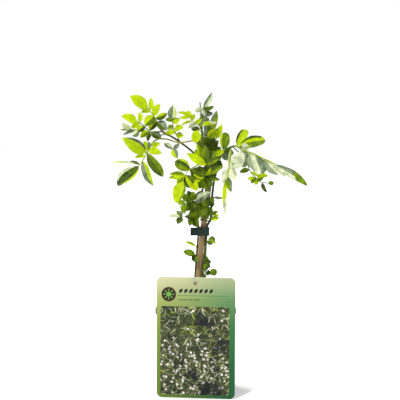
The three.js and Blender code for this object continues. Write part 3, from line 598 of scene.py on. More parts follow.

# %% [markdown]
# ## The pinnate leaves
#
# Common jasmine carries its leaflets in pairs along a thin rib, with a longer one at the end.
# A leaf card with a picture on it would do from afar. Here each leaflet is a closed thin blade
# instead: folded up along its midrib, arched from base to tip, a little wavy at the margin and
# thicker under the midrib. Some fifty small ones, in the dense middle and among the pale leaves
# on the right, are only drawn here and not among the solids, which are kept light.
#
# The table has one entry for each frond. Its first line gives the name, the rib's colour, its
# radius at root and tip, and its route. The lines below give the leaflets: share of the rib
# where it sits, place of its tip (u v y), width, roll in degrees, tone, and a sideways bow
# where it has one. A tone code has up to six letters: left half, right half, tip, left margin,
# right margin and form, where R is a rounded tip and - takes the tone beside it. Halves, tips
# and margins of different tones are painted sun and shade: the light and the shadow that fall
# on a leaflet, laid into its colour.

# %% Where every rib and leaflet goes
FROND_TABLE = """
frond_upper_left yellow 0.8 0.5: -42.8 295.4 -17, -46.4 302.4 -19, -52.3 310 -22:
  1 -72 324 -34 13 10 Y, 0.87 -49 322 -17 6.6 38 Y, 0.47 -39 315 -28 8.8 -10 Y, 0.83 -60 306 -27 5.5 15 Y,
  0.24 -31 305 -12 7.2 28 YD, 0.44 -56 291 -31 11 -15 DY, 0.06 -51 286 -25 8 5 DY,
  0.03 -32 286 -26 11 -20 GD

frond_left_tip green 0.8 0.45: -36.5 284.9 -14.5, -43.7 284.6 -8, -50.2 284.8 -5, -57.3 291.4 -6,
  -64.5 296.5 -9:
  1 -82 302 -17 10.2 8 Y, 0.91 -61 306 -2 6.2 25 Y, 0.89 -71 289 -12 6.6 -10 Y, 0.74 -64 284 -15 8 5 DY,
  0.53 -61 278 -12 7.7 5 MY, 0.47 -53 274 -1 6.1 30 D, 0.45 -38 277 -8 8.1 10 GD

frond_left_pale green 0.75 0.4: -33.2 282.4 -13, -43.7 280 0, -52.5 282.2 6, -62.8 286.1 9,
  -71.2 287.4 12:
  1 -81 294 8 6.8 190 P, 0.95 -83 287 18 5.5 150 PD -1, 0.85 -80 281 16 5.5 35 G,
  0.79 -70 280 3 7.2 165 PG

frond_lower_left yellow 0.9 0.45: -40.9 277 -14, -46.8 273.4 -16, -52.9 263.1 -20, -60.3 250 -26,
  -68.4 240.9 -29, -71.6 237.8 -30:
  0.41 -81 278 -33 14.3 -14 YY--G, 0.37 -57 275 -14 6.6 30 Y, 0.29 -52 274 -24 5 25 G,
  0.23 -39 272 -23 5.5 30 Y, 0.34 -37 261 -28 9.2 -8 Y, 0.4 -36 235 -10 11.6 15 MD,
  0.62 -46 225 -29 9.2 15 YG 1, 0.75 -86 225 -42 14.9 12 DD-YP, 0.72 -92 251 -20 5.9 55 PPY -1,
  0.71 -73 252 -22 4.4 20 D, 0.49 -67 256 -24 6.6 35 Y

frond_top_left green 0.75 0.45: -18.1 274.3 -10, -22.1 283.1 -12, -24.7 288.9 -13, -25.4 298.6 -14:
  1 -25 314 -20 9.7 -8 GP--Y, 0.87 -17 299 -21 7.2 15 YY-D, 0.89 -33 299 -9 6.1 20 M,
  0.57 -13 289 -21 7.9 -12 Y, 0.61 -32 289 -5 6.6 10 M, 0.33 -13 280 -18 6.6 20 YY-D,
  0.42 -34 283 -22 6.6 10 Y

sprig_small_left green 0.6 0.4: -17.8 273.2 -10, -21.7 269 -15, -25.4 265.9 -18:
  1 -35 272 -20 6.2 20 GP, 0.97 -20 255 -24 7.5 10 GY, 0.9 -18 271 -19 4.6 20 G

frond_leader_left yellow 0.65 0.4: 6.2 289.9 0, 0.2 293.5 -6, -4.4 297.4 -10, -7.4 301.1 -13:
  1 -20 306 -17 5.1 30 Y 1.2, 0.95 -9 308 -10 6.2 10 Y, 0.98 -18 300 -19 4.2 -25 Y,
  0.77 -1 304 -18 5.5 10 Y, 0.69 -16 291 -6 3.1 10 Y 1.2, 0.48 7 299 -13 5 30 Y, 0.44 -8 289 -3 5.5 145 P

frond_leader_base yellow 0.6 0.45: 7.1 283.3 0, 4.2 286.1 -5, 2 286.6 -8:
  1 -2 273 -13 10.1 -10 Y----R, 0.63 -5 289 3 7.3 20 D

frond_leader_right green 0.75 0.45: 7.2 277.8 0, 11.3 277.8 1, 17.4 277.8 0, 22.5 277.1 -2:
  0.33 23 308 10 8.8 22 GM, 1 29 293 -7 8.1 -12 Y, 0.54 25 288 -7 6.8 10 MY, 0.19 11 299 -6 4.2 15 G,
  0.12 14 295 4 4 20 P, 0.37 14 301 3 5.3 10 GM, 0.3 19 296 8 7 -5 MG, 0.37 23 287 -9 7.9 0 YM

leaflet_leader_long yellow 0.5 0.45: 6.9 286.1 0, 4.5 288.8 -5, 6.9 291.9 -9:
  1 24 295 -13 5.3 45 YYP -1.8, 0.91 11 301 -3 4.8 10 G, 0.73 4 300 -2 4.2 10 MG

shoot_tip green 0.8 0.55: 8.4 304.2 -1, 9 307.5 -1.5, 8.2 311.2 -1.5:
  1 18 328 -4 6.2 15 GP 1, 0.64 20 313 -7 4.4 20 D 0.5, 0.75 -1 308 -5 5.7 150 P,
  0.23 19 305 4 6.2 20 DG 0.5, 0.32 12 294 3 5.3 10 G, 0.15 6 294 2 4.8 10 GM, 0.86 11 300 -2 4.6 -10 GP,
  0.2 13 318 1 4 0 GP 0.3

frond_centre_upper green 0.75 0.5: 8.9 260.4 4, 8.4 263.7 8, 11.7 265 9.8, 18.1 262.4 9:
  0.42 14 281 14 9.9 20 M, 0.38 3 278 12 8.8 -10 M, 1 20 282 7 6.8 10 D, 0.57 18 279 16 10.3 5 M,
  0.72 25 275 12 9.9 -10 MD, 0.91 28 267 7 8.4 15 DM, 0.38 6 283 9 7.7 0 MD

frond_centre_arch green 0.75 0.5: 6 253.7 -5.5, 8.7 251 -11, 12 248.1 -14:
  0.42 1 271 -14 8.1 20 YM, 0.62 11 270 -18 10.8 10 MD, 1 -10 261 -21 9.2 -12 Y, 0.33 -1 265 -9 7.3 10 YD,
  0.91 21 263 -10 9.2 0 DM, 0.78 25 255 -14 7.7 10 DM, 0.98 26 249 -11 8.8 -5 D, 1 18 241 -9 8.4 0 D

frond_centre_front green 0.8 0.5: 9.9 234.9 0.3, 9.3 233.8 -6, 10.8 236.6 -13:
  1 3 247 -11 7.7 15 MD, 1 -7 242 -17 13.4 10 DD-Y, 0.96 29 248 -15 7.9 15 DM, 0.02 27 232 -15 5.9 20 DM,
  0.36 20 225 -11 6.6 15 D, 0.98 17 245 -18 2.9 5 Y 0.6, 0.87 -5 231 -21 8.4 0 MDY, 0.27 4 222 -9 9 10 M,
  0.36 14 220 -9 9.2 0 DM, 0.02 24 240 -8 8.1 0 D, 0.02 4 245 -6 9.2 0 D

frond_centre_right green 0.75 0.5: 22.7 245.3 4.6, 23 248.1 1, 23.7 251.9 -1.5:
  0.99 26 264 1 7.7 10 D, 0.54 28 253 -5 6.6 20 D, 0.81 16 260 -3 7.2 20 D, 0.81 29 244 -6 7.7 0 D,
  0.49 15 251 -6 8.4 0 DM

leaflet_pair_right green 0.6 0.5: 29.2 261.3 4, 30 262.8 9, 30.3 264.4 12:
  1 33 284 16 11.2 12 MM-Y-R, 0.43 36 253 11 8.1 15 DG, 0.43 42 261 13 10.3 0 DG

leaflet_right_inner yellow 0.55 0.5: 31.7 264.1 2, 30.7 264.8 -4.5:
  1 21 257 -11 6.6 15 Y

frond_left_middle yellow 0.85 0.45: 8.7 251.4 -4.8, 2.5 248.1 -13, -6.4 243.3 -20, -11.9 236.6 -24,
  -14.4 230.5 -26:
  0.58 -23 252 -29 12.5 -10 MD--YR, 0.82 -29 238 -33 7.7 -15 YM, 0.87 -30 234 -17 6.6 20 YD,
  0.99 -22 206 -33 13.9 10 YY-M, 0.81 2 220 -22 11.4 -12 DYY, 0.81 -6 223 -15 9.2 0 D,
  0.84 -21 227 -21 7 0 DY, 0.58 4 233 -14 9 0 MD

frond_low_left green 0.7 0.45: 3.9 204.7 4.2, 0.3 207.1 -1, -3 208.5 -5, -7.4 209 -8, -11.8 205.8 -10:
  0.75 -16 215 -15 8.8 10 M, 0.97 -20 207 -6 6.2 15 M, 0.52 -3 219 -11 8.1 12 M,
  0.4 16 218 -15 10.3 -10 PG, 1 -13 195 -15 8.1 10 M, 0.55 -3 190 -12 8.6 -15 DDM, 0.52 -5 195 -13 9 0 D,
  0.4 2 195 -8 9 0 MD, 0.52 -9 220 -8 7.7 0 D, 0.66 -9 197 -9 7.7 0 M, 0.29 8 199 -6 8.8 0 M,
  0.15 6 220 -6 8.8 0 DM

frond_low_right green 0.6 0.45: 16.8 206.8 3, 16 204.1 -3, 12.4 201.9 -7:
  0.64 21 206 -9 5 20 D, 0.91 15 195 -9 6.1 20 D, 1 3 197 -10 7.2 20 M, 0.89 4 206 -7 6.6 15 D,
  1 6 190 -9 8.1 10 M, 0.93 13 189 -8 7 10 DM, 1 9 216 -9 9.9 0 MD, 0.78 19 214 -5 7.7 0 D,
  0.93 18 193 -5 7.7 0 M, 1 4 192 -13 8.8 0 D

sprig_low_right green 0.55 0.45: 15.9 196.9 1.5, 18.1 194.9 -1, 17.8 191.3 -2.5, 16.4 188.3 -3:
  0.43 26 192 -4 3.5 20 Y, 0.34 25 197 -6 3.7 20 M, 0.97 26 190 -6 5.5 15 MY

leaflet_low_right green 0.5 0.5: 17.4 211.8 3, 19 212.9 3:
  1 30 212 5 3.7 40 G

sprig_low_left green 0.6 0.4: 1.6 185.9 3.5, -5.2 190.6 -3, -11.9 191 -5, -15.6 190.9 -6:
  1 -31 192 -11 5.1 30 P, 0.97 -21 198 -3 6.6 15 MG, 0.99 -20 183 -10 7.5 10 D, 0.26 -12 192 -7 5.9 15 G,
  0.3 2 180 -9 8.1 10 MD, 0.26 5 197 -9 7.7 0 M, 0.49 -7 181 -7 6.6 0 M, 0.3 -7 197 -9 7.3 0 MY

tendril_low_left green 0.5 0.35: 1.4 190.9 4, -6.3 193.7 6, -12.3 195 6, -15.6 198.6 5, -17.3 204.9 4:
  1 -20 211 2 5.5 20 M

sprig_clip_left green 0.55 0.45: 0.7 147.4 2.9, 0.2 148.8 -2, -0.2 149.4 -5:
  1 -14 153 -9 7.9 10 MM-D, 0.77 -1 141 -8 6.6 10 MD, 0.77 -4 143 -7 5.5 0 D

leaflet_clip_left green 0.5 0.45: 1.6 157.9 2.7, -0.1 159 -1:
  0.91 -12 164 -3 4.2 30 YM

sprig_clip_right green 0.6 0.45: 11.7 162.3 -0.5, 13.7 164.9 -5, 14.6 167.8 -7:
  1 22 165 -9 7.7 10 DM, 0.85 24 161 -8 3.1 20 Y, 0.37 19 161 -5 5.1 20 D

sprig_base_right green 0.55 0.45: 10.4 138.8 -1, 11.3 139.5 -5, 12.2 140.3 -6.5:
  1 17 143 -8 5.1 15 D, 0.69 11 131 -9 6.6 10 DM, 0.87 16 135 -6 4.4 15 D, 0.87 12 148 -5 5.1 10 D

leaflet_base_right green 0.55 0.45: 10.3 125.4 -1, 13.3 127.1 -3, 15.5 127.8 -3.5:
  1 23 133 -4 8.4 10 MD, 0.54 8 132 -8 4.4 20 P, 0.63 14 133 -5 5.1 10 D

frond_right_long yellow 1 0.45: 42.1 269.1 -2, 44.9 268.8 -3, 51.9 264.4 -8, 63.3 260.5 -14,
  73.8 255.5 -20, 86.7 249.2 -25, 97.7 241.9 -29, 110.3 233 -33.4:
  0.04 56 287 8 10.8 -8 YY-D-R, 0.07 77 275 -17 13.4 -10 YM-D-R -1.5, 0.17 55 272 -14 9.4 160 P,
  0.15 42 244 -22 13.9 196 P----R, 0.2 55 247 -12 8.8 170 G, 0.34 72 238 -27 15.6 188 PG---R,
  0.48 91 237 -31 11.7 165 GP, 0.68 98 235 -26 6.6 205 P, 0.65 123 225 -38 9.5 -12 GPM,
  0.17 45 245 -17 11 180 PG, 0.15 39 250 -19 8.8 190 P, 0.25 65 242 -22 9.9 180 GP

frond_right_hanging yellow 0.7 0.45: 38.8 268 0, 38.4 259.1 -5, 36.8 250.3 -9, 36.2 242.6 -11,
  35.9 235.1 -12:
  0.69 30 228 -15 8.1 160 P, 0.59 43 231 -18 9.2 190 P, 1 39 218 -15 7 15 GM,
  0.94 32 192 -6 5.1 15 YYP 1.5, 0.02 37 244 -13 4 160 PY

frond_right_lower green 0.6 0.4: 52.6 264.2 -8, 55.3 255.8 1, 57.4 247.8 2, 60.4 240.6 0, 65.9 234.2 -4,
  71.7 229.6 -8, 80.2 228 -12:
  0.47 48 240 -6 6.2 15 M, 0.53 80 236 -10 6.6 28 Y, 0.68 57 232 -10 5.5 35 Y, 0.73 66 226 -9 5.9 15 Y,
  0.86 78 218 -4 5.5 50 D, 1 86 229 -15 5.1 20 M, 0.73 75 235 -12 6.2 10 YM, 0.68 61 228 -7 5.9 10 M

frond_back_upper green 0.8 0.5: 9.1 258 4.5, 11.9 261.3 14, 14.1 265.1 26, 15.2 266.2 38:
  0.2 3 268 22 11 20 M, 0.3 23 268 20 11 -20 M, 0.61 5 262 36 12.1 15 M, 0.65 25 260 34 12.1 -15 D,
  1 16 269 60 13.2 0 D

frond_back_lower green 0.8 0.5: 10.8 234.9 7, 11.3 237.7 14, 12.2 240.4 26, 12.7 239.8 40:
  0.18 1 244 20 11 20 M, 0.21 23 245 20 11 -20 D, 0.56 3 235 36 12.1 15 M, 0.71 23 236 36 12.1 -15 D,
  1 14 236 62 13.2 0 D

frond_back_right green 0.7 0.45: 41 268.3 0, 47.6 261.9 10, 54.2 256.4 22, 59.7 252.5 32:
  0.43 46 251 22 9.9 20 M, 0.37 58 262 8 8.8 -20 M, 0.76 51 246 36 9.9 15 M, 0.73 65 256 26 9.9 -20 M,
  1 69 246 42 11 0 M
"""

FRONDS = {}
for entry in FROND_TABLE.strip().split("\n\n"):
    head, rib, leaflets = entry.split(":")
    name, colour, root, end = head.split()
    FRONDS[name] = "rib_" + colour, float(root), float(end), places(rib), leaflets.split(",")
print("fronds:", len(FRONDS), "leaflets:", sum(len(leaflets) for *_, leaflets in FRONDS.values()))

# %% The outline and the tones of a leaflet
STALK_SHARE = 0.04
# where the tip's and the margins' tones begin: the edges of painted patches of sun and shade
TIP_FROM, TIP_SLANT = 0.6, 0.14
MARGIN_FROM, MARGIN_LOW, MARGIN_HIGH = 0.58, 0.1, 0.9


def half_width(share, full, drawn):
    """Half width along a leaflet: full sets how blunt its base is, drawn how far its tip is drawn out."""
    def shape(s):
        return max(s - STALK_SHARE, 0) ** full * (1 - s) ** drawn
    return shape(share) / shape((STALK_SHARE * drawn + full) / (full + drawn))


def tone_and_painted_light_at(tones, across, share):
    """The letter of a tone code that holds at a place on a leaflet. Halves, tip and margins in different
    tones paint the sun and shade that fall on it.
    """
    left, right, tip, left_margin, right_margin = (tones + "-" * 5)[:5]
    tone = left if across < 0 or right == "-" else right
    if tip != "-" and share > TIP_FROM + TIP_SLANT * across:
        tone = tip
    margin = left_margin if across < 0 else right_margin
    if margin != "-" and abs(across) > MARGIN_FROM and MARGIN_LOW < share < MARGIN_HIGH:
        tone = margin
    return tone


print("half widths:", [round(half_width(i / 10, 0.65, 0.85), 2) for i in range(1, 10)])

# %% Shape one leaflet
COLUMNS = (-1, -0.8, -0.6, -0.35, -0.12, 0, 0.12, 0.35, 0.6, 0.8, 1)
ROWS = 16
STALK, THINNEST = 0.5 * MM, 0.12 * MM  # half widths at the base and near the tip
EDGE, MIDRIB = 0.14 * MM, 0.3 * MM  # thickness of the margin, and what the midrib adds
FOLD, ROUNDED, ARCH = 0.24, 0.012, 0.05
RIPPLE, LAG = 0.08, 1.9  # waves of the margin, and how much later they come on the right
ROUND_TIP = (0.62, 0.5)


def blade_rows(draft, number, base, tip, width, roll, bow, rounded):
    """Rows of corners for the top and the underside of a folded, arched and faintly wavy blade."""
    along = tip - base
    length = along.length
    along.normalize()
    upper = Vector((0, -1, 0.25))
    upper = (upper - upper.dot(along) * along).normalized()
    upper.rotate(Quaternion(along, math.radians(roll)))
    side = along.cross(upper)
    chance = random.Random(number)
    phase, waves = chance.uniform(0, 6), chance.uniform(1.3, 2.4)
    full, drawn = chance.uniform(0.55, 0.75), chance.uniform(0.7, 0.98)
    sway, lopsided = chance.uniform(-0.05, 0.05), chance.uniform(-0.1, 0.1)
    if rounded:
        full, drawn = ROUND_TIP
    top, under = [], []
    for i in range(ROWS):
        share = i / ROWS
        hump = 4 * share * (1 - share)
        half = max(half_width(share, full, drawn) * width / 2, THINNEST) if i else STALK
        swing = bow * hump + sway * length * hump * (1 - 2 * share)
        middle = base + along * share * length + upper * ARCH * length * hump + side * swing
        for rows, is_under in ((top, False), (under, True)):
            row = []
            for a in COLUMNS:
                crease = math.sqrt(a * a + ROUNDED) - math.sqrt(ROUNDED)
                ripple = math.sin(2 * math.pi * waves * share + phase + (LAG if a > 0 else 0)) * a * a
                lift = FOLD * half * crease + RIPPLE * half * ripple
                if is_under:
                    lift -= EDGE + MIDRIB * (1 - abs(a)) ** 3
                place = middle + side * a * half * (1 + lopsided * a) + upper * lift
                row.append(draft.corner(place, number + 0.5 + a * LEAF_MAP_HALF, share))
            rows.append(row)
    # the tip is one corner on each side, given as often as a row has corners
    for rows, point in ((top, tip), (under, tip - upper * EDGE)):
        rows.append([draft.corner(point, number + 0.5, 1)] * len(COLUMNS))
    return top, under


print("a blade has", 2 * (ROWS * len(COLUMNS) + 1), "corners")

# %% Close a leaflet and give it its tones


def leaflet(draft, number, base, tip, width, roll, bow, tones, finishes):
    """A closed blade from base to tip. Width and bow are in metres, roll is in degrees."""
    top, under = blade_rows(draft, number, base, tip, width, roll, bow, tones.endswith("R"))

    # each face takes the tone of its half, tip or margin: painted patches of sun and shade
    def close(corners, across, row, is_under):
        finish = finishes[tone_and_painted_light_at(tones, across, (row + 0.5) / ROWS)][is_under]
        draft.face(list(dict.fromkeys(corners)), finish)

    last = len(COLUMNS) - 1
    for k in range(last):
        across = (COLUMNS[k] + COLUMNS[k + 1]) / 2
        draft.face([top[0][k + 1], top[0][k], under[0][k], under[0][k + 1]], finishes[tones[0]][1])
        for i in range(ROWS):
            close([top[i][k], top[i][k + 1], top[i + 1][k + 1], top[i + 1][k]], across, i, False)
            close([under[i][k + 1], under[i][k], under[i + 1][k], under[i + 1][k + 1]], across, i, True)
    for i in range(ROWS):
        close([top[i][0], top[i + 1][0], under[i + 1][0], under[i][0]], -1, i, False)
        close([under[i][last], under[i + 1][last], top[i + 1][last], top[i][last]], 1, i, False)


print("and", (2 * ROWS + 1) * (len(COLUMNS) - 1) + 2 * ROWS, "faces")

# %% Grow every frond
RIB_SIDES, RIB_RINGS = 8, 6
leaf_number, faces = 0, 0
for name, (rib_finish, root, end, rib, leaflets) in FRONDS.items():
    draft, route, used = Draft(), Route(rib), [rib_finish]
    draft.tube(route, lambda share: (root + (end - root) * share) * MM, RIB_SIDES, RIB_RINGS * len(rib))
    for row in leaflets:
        *numbers, tones, bow = (row + " 0").split()[:8]
        share, u, v, y, width, roll = map(float, numbers)
        finishes = {}
        for tone in sorted(set(tones) - set("-R")):
            used += [finish for finish in dict.fromkeys(SIDES[tone]) if finish not in used]
            finishes[tone] = [used.index(finish) for finish in SIDES[tone]]
        leaf_number += 1
        leaflet(
            draft, leaf_number, route.at(share), seen(u, v, y),
            width * MM, roll, float(bow) * MM, tones, finishes,
        )
    draft.piece("grown_" + name, used, name, "leaf")
    faces += len(draft.faces)
print("grown:", leaf_number, "leaflets with", faces, "faces")

# %% [markdown]
# ## The stems
#
# Three stems leave the soil beside the cane and a fourth branches off the leader. A plain tube
# looks like wire, so each stem swells a little where a leaf grows out, as real nodes do, and its
# thickness wanders slightly. The leader also carries a twining branch: it winds round the cane,
# climbs beside it and then coils round the leader's own tip.

# %% The routes of the stems
STEMS = {  # finish, radius at root and tip in millimetres, route
    "stem_left": ("bark_left", 1.15, 1.0, (
        "-5.5 58 4, -3.8 89 3.4, -1.2 120 3.2, 1 150 2.8, 3.1 174 2.3, 3.3 179.5 2.8, 2.2 186 3.8,"
        "2.8 199 4.6, 5.3 212 3.6, 8.5 225 2, 10.7 236 0, 11.1 244 -1.7, 10.5 249 -3.3, 8 252 -5,"
        "1.2 258 -6.5, -6.3 265 -8, -17 273 -10, -26 279 -12, -34 283 -14, -40 289 -16, -43 295 -17"
    )),
    "stem_right": ("bark_right", 2.2, 0.8, (
        "10 58 -1, 9.7 89 -1, 9.5 120 -1, 10.4 150 0, 11.8 174 1.3, 12.5 181 2.2, 16.4 188.5 1.8,"
        "16.8 196 2.2, 17.8 211 3.2, 19.7 227 4.2, 22.5 243 4.6, 27.4 258 4, 34.4 266 1, 42.4 269 -2"
    )),
    "stem_leader": ("bark_leader", 1.2, 0.7, (
        "6 58 7, 6.4 89 6.6, 7.5 133 6.8, 8 174 7.4, 8.9 193 7.6, 10.6 215 7.4,"
        "10.9 240 7, 9.8 254 5.5, 8.2 265 2.5, 7.1 277 0, 6.4 300 0, 4.6 317 0.5"
    )),
    "stem_side": ("bark_side", 0.9, 0.75, (
        "8.4 261 3.2, 6 264.4 -1.5, 2.6 270 -5.6, -1.6 274.4 -9,"
        "-12.9 273.2 -15, -20 273 -15.5, -32 276.5 -15, -41 277 -14"
    )),
}
CANE_ROUTE = "-4 20 0, 0.5 90 0, 3.3 126 0, 7.2 170 0, 9.3 186 0, 13.9 221 0, 16.8 245.5 0"
TWINE_CLIMB = "8.2 197.6 5.6, 11 205 6, 14.5 218 6.6, 15.4 232 7.4, 14.2 246 7, 12 257 4.6"
PER_TURN = 8


def windings(route, low, high, turns, start, radius):
    """Points that wind clockwise round a route, seen from above, between two heights in millimetres."""
    points, count = [], round(turns * PER_TURN)
    for i in range(count + 1):
        middle = route.height((low + (high - low) * i / count) * MM)
        angle = math.radians(start) - 2 * math.pi * i / PER_TURN
        points.append(middle + Vector((math.cos(angle), math.sin(angle), 0)) * radius * MM)
    return points


stem_routes = {name: Route(places(text)) for name, (*_, text) in STEMS.items()}
cane_route = Route(places(CANE_ROUTE))
twine_route = Route([
    *places("8.5 183 7.4, 11.5 184.6 6.6"),
    *windings(cane_route, low=186, high=194, turns=2.85, start=62, radius=4.45),
    *places(TWINE_CLIMB),
    *windings(stem_routes["stem_leader"], low=266, high=304, turns=2.5, start=20, radius=1.3),
])
print("stem lengths:", {name: round(route.length, 3) for name, route in stem_routes.items()})

# %% Grow the stems
STEM_SIDES, STEM_PITCH = 14, 1.1 * MM
TWINE_RADIUS, TWINE_SIDES, TWINE_RINGS = 0.8, 12, 260
WANDER = (0.03, 0.35), (0.02, 0.91)  # share of the radius, and radians for each millimetre
SWELL, SWELL_LONG, SWELL_MOST = 0.32, 1.7 * MM, 0.4
SPROUT_REACH = 2.5 * MM  # a frond that starts this near a stem grows from it


def knobbly(root, end, nodes, length):
    """A radius that tapers, wanders a little and swells at each node. Nodes are shares of the length."""
    def radius(share):
        swell = sum(SWELL * math.exp(-(((share - node) * length / SWELL_LONG) ** 2)) for node in nodes)
        wander = sum(most * math.sin(share * length / MM * rate) for most, rate in WANDER)
        return (root + (end - root) * share) * MM * (1 + min(swell, SWELL_MOST) + wander)
    return radius


sprouts = [rib[0] for _, _, _, rib, _ in FRONDS.values()]
for name, (finish, root, end, _) in STEMS.items():
    route, finishes, draft = stem_routes[name], [finish], Draft()
    nodes = [share for gap, share in map(route.nearest, sprouts) if gap < SPROUT_REACH]
    radius = knobbly(root, end, nodes, route.length)
    draft.tube(route, radius, STEM_SIDES, round(route.length / STEM_PITCH))
    if name == "stem_leader":
        finishes.append("bark_twine")
        radius = knobbly(TWINE_RADIUS, TWINE_RADIUS, [], twine_route.length)
        draft.tube(twine_route, radius, TWINE_SIDES, TWINE_RINGS, finish=1)
    draft.piece("grown_" + name, finishes, name, "stem")
    print(name, round(route.length, 3), "m,", len(nodes), "nodes")

# %% [markdown]
# ## The bamboo cane
#
# The cane is split-free Tonkin bamboo, about seven millimetres thick. It is sawn square at the
# top, where the hollow shows, and has one node between the clips: a narrow raised scar where the
# sheath was, with a darker patch below it. The fibres run the whole length, so the finish
# stretches its noise along the cane.

# %% The bamboo's finish
KNOT = 180.4 * MM

place = begin("bamboo")
flat = place.node("TexCoord", out="UV")
fibre = noise(stretched(flat, 34, 5), 1, 4, 0.65)
thread = noise(stretched(flat, 120, 14), 1, 2)
cloud = noise(stretched(place, 90, 90, 28), 1, 2)
foot = noise(stretched(place, 900, 900, 100), 1, 1)
above = (part_of(place, 2) - KNOT) / MM
patch = ease(above + foot * 5, 6.6, 4.4) * ease(above + foot * 7, -5.2, -1)
scar = ease(abs(above - 0.4), 0.7, 0.2)
grey = ease(abs(above - 40), 9, 3) * ease(cloud, 0.4, 0.6)
colour = painted(
    (96, 72, 40), (ease(fibre, 0.36, 0.66), (164, 132, 84)),
    (ease(thread, 0.52, 0.68) * 0.45, (76, 58, 34)), (ease(cloud, 0.5, 0.7) * 0.4, (128, 112, 66)),
    (grey * 0.7, (70, 62, 40)), (patch * 0.9, (84, 46, 18)), (scar * 0.8, (58, 40, 24)),
)
surface(place, colour, 0.42 + fibre * 0.3, (fibre * 0.7 + thread * 0.35) * MM, 0.3)
print("bamboo: knot at", KNOT, "m")

# %% The cane
CANE_BOTTOM, CANE_TOP, HOLLOW, HOLLOW_DEEP = 3.4 * MM, 3.0 * MM, 1.2 * MM, 5 * MM
CANE_SIDES, CANE_RINGS = 36, 300
SAWN = 0.93  # share of the top's radius inside its worn edge


def bulge(z, middle, long):
    return math.exp(-(((z - middle) / long) ** 2))


def cane_radius(share):
    z = cane_route.at(share).z
    ridge = 0.42 * bulge(z, KNOT, 0.7 * MM) - 0.16 * bulge(z, KNOT + 1.6 * MM, 0.8 * MM)
    swell = 0.22 * bulge(z, KNOT - 0.5 * MM, 5 * MM)
    return CANE_BOTTOM + (CANE_TOP - CANE_BOTTOM) * share + (ridge + swell) * MM


draft = Draft()
rows = draft.tube(cane_route, cane_radius, CANE_SIDES, CANE_RINGS, open_end=True)[-1:]
top, down = cane_route.at(1), -cane_route.heading(1)
rim = [draft.corners[k] - top for k in rows[0]]
hollow = HOLLOW / CANE_TOP
for reach, depth in ((SAWN, -0.18 * MM), (hollow, -0.1 * MM), (hollow * 0.9, HOLLOW_DEEP)):
    ring = [top + spoke * reach + down * depth for spoke in rim]
    rows.append([draft.corner(place, k / CANE_SIDES, 1) for k, place in enumerate(ring)])
draft.skin(rows, wrap=True)
draft.face(rows[-1])
draft.piece("bamboo_cane", ["bamboo"], "cane", "cane")
print("cane:", round(cane_route.length, 3), "m")

# %% [markdown]
# ## The clips
#
# Two soft plastic clips hold the stems to the cane. Each is a band with a thicker lip top and
# bottom, closed by a flat tab on its left that has a raised frame and grip ribs. Bands like this
# are one section swept round a rounded rectangle, which is quicker and cleaner here than cutting
# one box out of another.

# %% The clips' finish


def clip_finish(name, body, worn, sheer):
    """Moulded plastic, mottled paler by noise and a little sheer all over, with fine handling marks."""
    place = begin(name)
    cloud = noise(place, 260, 3)
    marks = noise(stretched(place, 500, 500, 2600), 1, 2)
    colour = tint(ease(cloud, 0.4, 0.65) * 0.6, body, worn)
    height = (cloud * 0.4 + marks * 0.3) * MM
    surface(place, colour, 0.3 + marks * 0.25, height, 0.15, through=(0.06, sheer), shine=0.25)


clip_finish("clip_green", (14, 36, 26), (24, 52, 40), (40, 84, 56))
clip_finish("clip_blue", (18, 26, 40), (32, 44, 60), (40, 60, 90))
clip_finish("clip_window", (16, 48, 44), (30, 64, 58), (50, 100, 80))
print("clip finishes: green, blue and the tab's window")

# %% The forms of a clip
BAND_HALF, BAND_WALL, BAND_CORNER = 4.4, 1.1, 2.6
SOFT, FRAME_FLAT = 0.25, 0.75  # how far an edge is rounded off, and how much of a frame is level
SECTION = [  # (outwards from the inside wall, up from the middle)
    (0.25, -4.4), (0.85, -4.4), (1.1, -4.15), (1.1, -3), (0.86, -2.7), (0.86, 2.7),
    (1.1, 3), (1.1, 4.15), (0.85, 4.4), (0.25, 4.4), (0, 4.15), (0, -4.15),
]


def round_corners(left, right, front, back, corner, steps=7):
    """(place, outward direction) round a rounded rectangle, in millimetres."""
    middles = [(right - corner, back - corner), (left + corner, back - corner),
               (left + corner, front + corner), (right - corner, front + corner)]
    for quarter, (x, y) in enumerate(middles):
        for k in range(steps):
            angle = math.pi / 2 * (quarter + k / (steps - 1))
            out = Vector((math.cos(angle), math.sin(angle), 0))
            yield Vector((x, y, 0)) + out * corner, out


def tray(draft, frame_of, length, thick, height, rim, sunk, floor_finish):
    """A flat plate with a raised frame on its front and back. frame_of places its own points."""
    face = -thick / 2
    front = [(face + sunk, rim), (face, rim * FRAME_FLAT), (face, SOFT), (face + SOFT, 0)]
    rings = []
    for y, inset in front + [(-y, inset) for y, inset in front[::-1]]:
        x, z = length / 2 - inset, height / 2 - inset
        square = (-x, y, z), (x, y, z), (x, y, -z), (-x, y, -z)
        rings.append([draft.corner(frame_of(Vector(p))) for p in square])
    draft.skin(rings, wrap=True)
    draft.face(rings[0][::-1], floor_finish)
    draft.face(rings[-1], floor_finish)


print("band:", len(SECTION), "corners in its section")

# %% The clips
TAB_THICK, TAB_FRAME, TAB_SUNK = 2.2, 1.5, 0.6
GRIPS, GRIP_WIDE, GRIP_THICK, GRIP_TALL, GRIP_FIRST, GRIP_PITCH = 3, 0.4, 1.7, 5.6, 2.2, 0.9
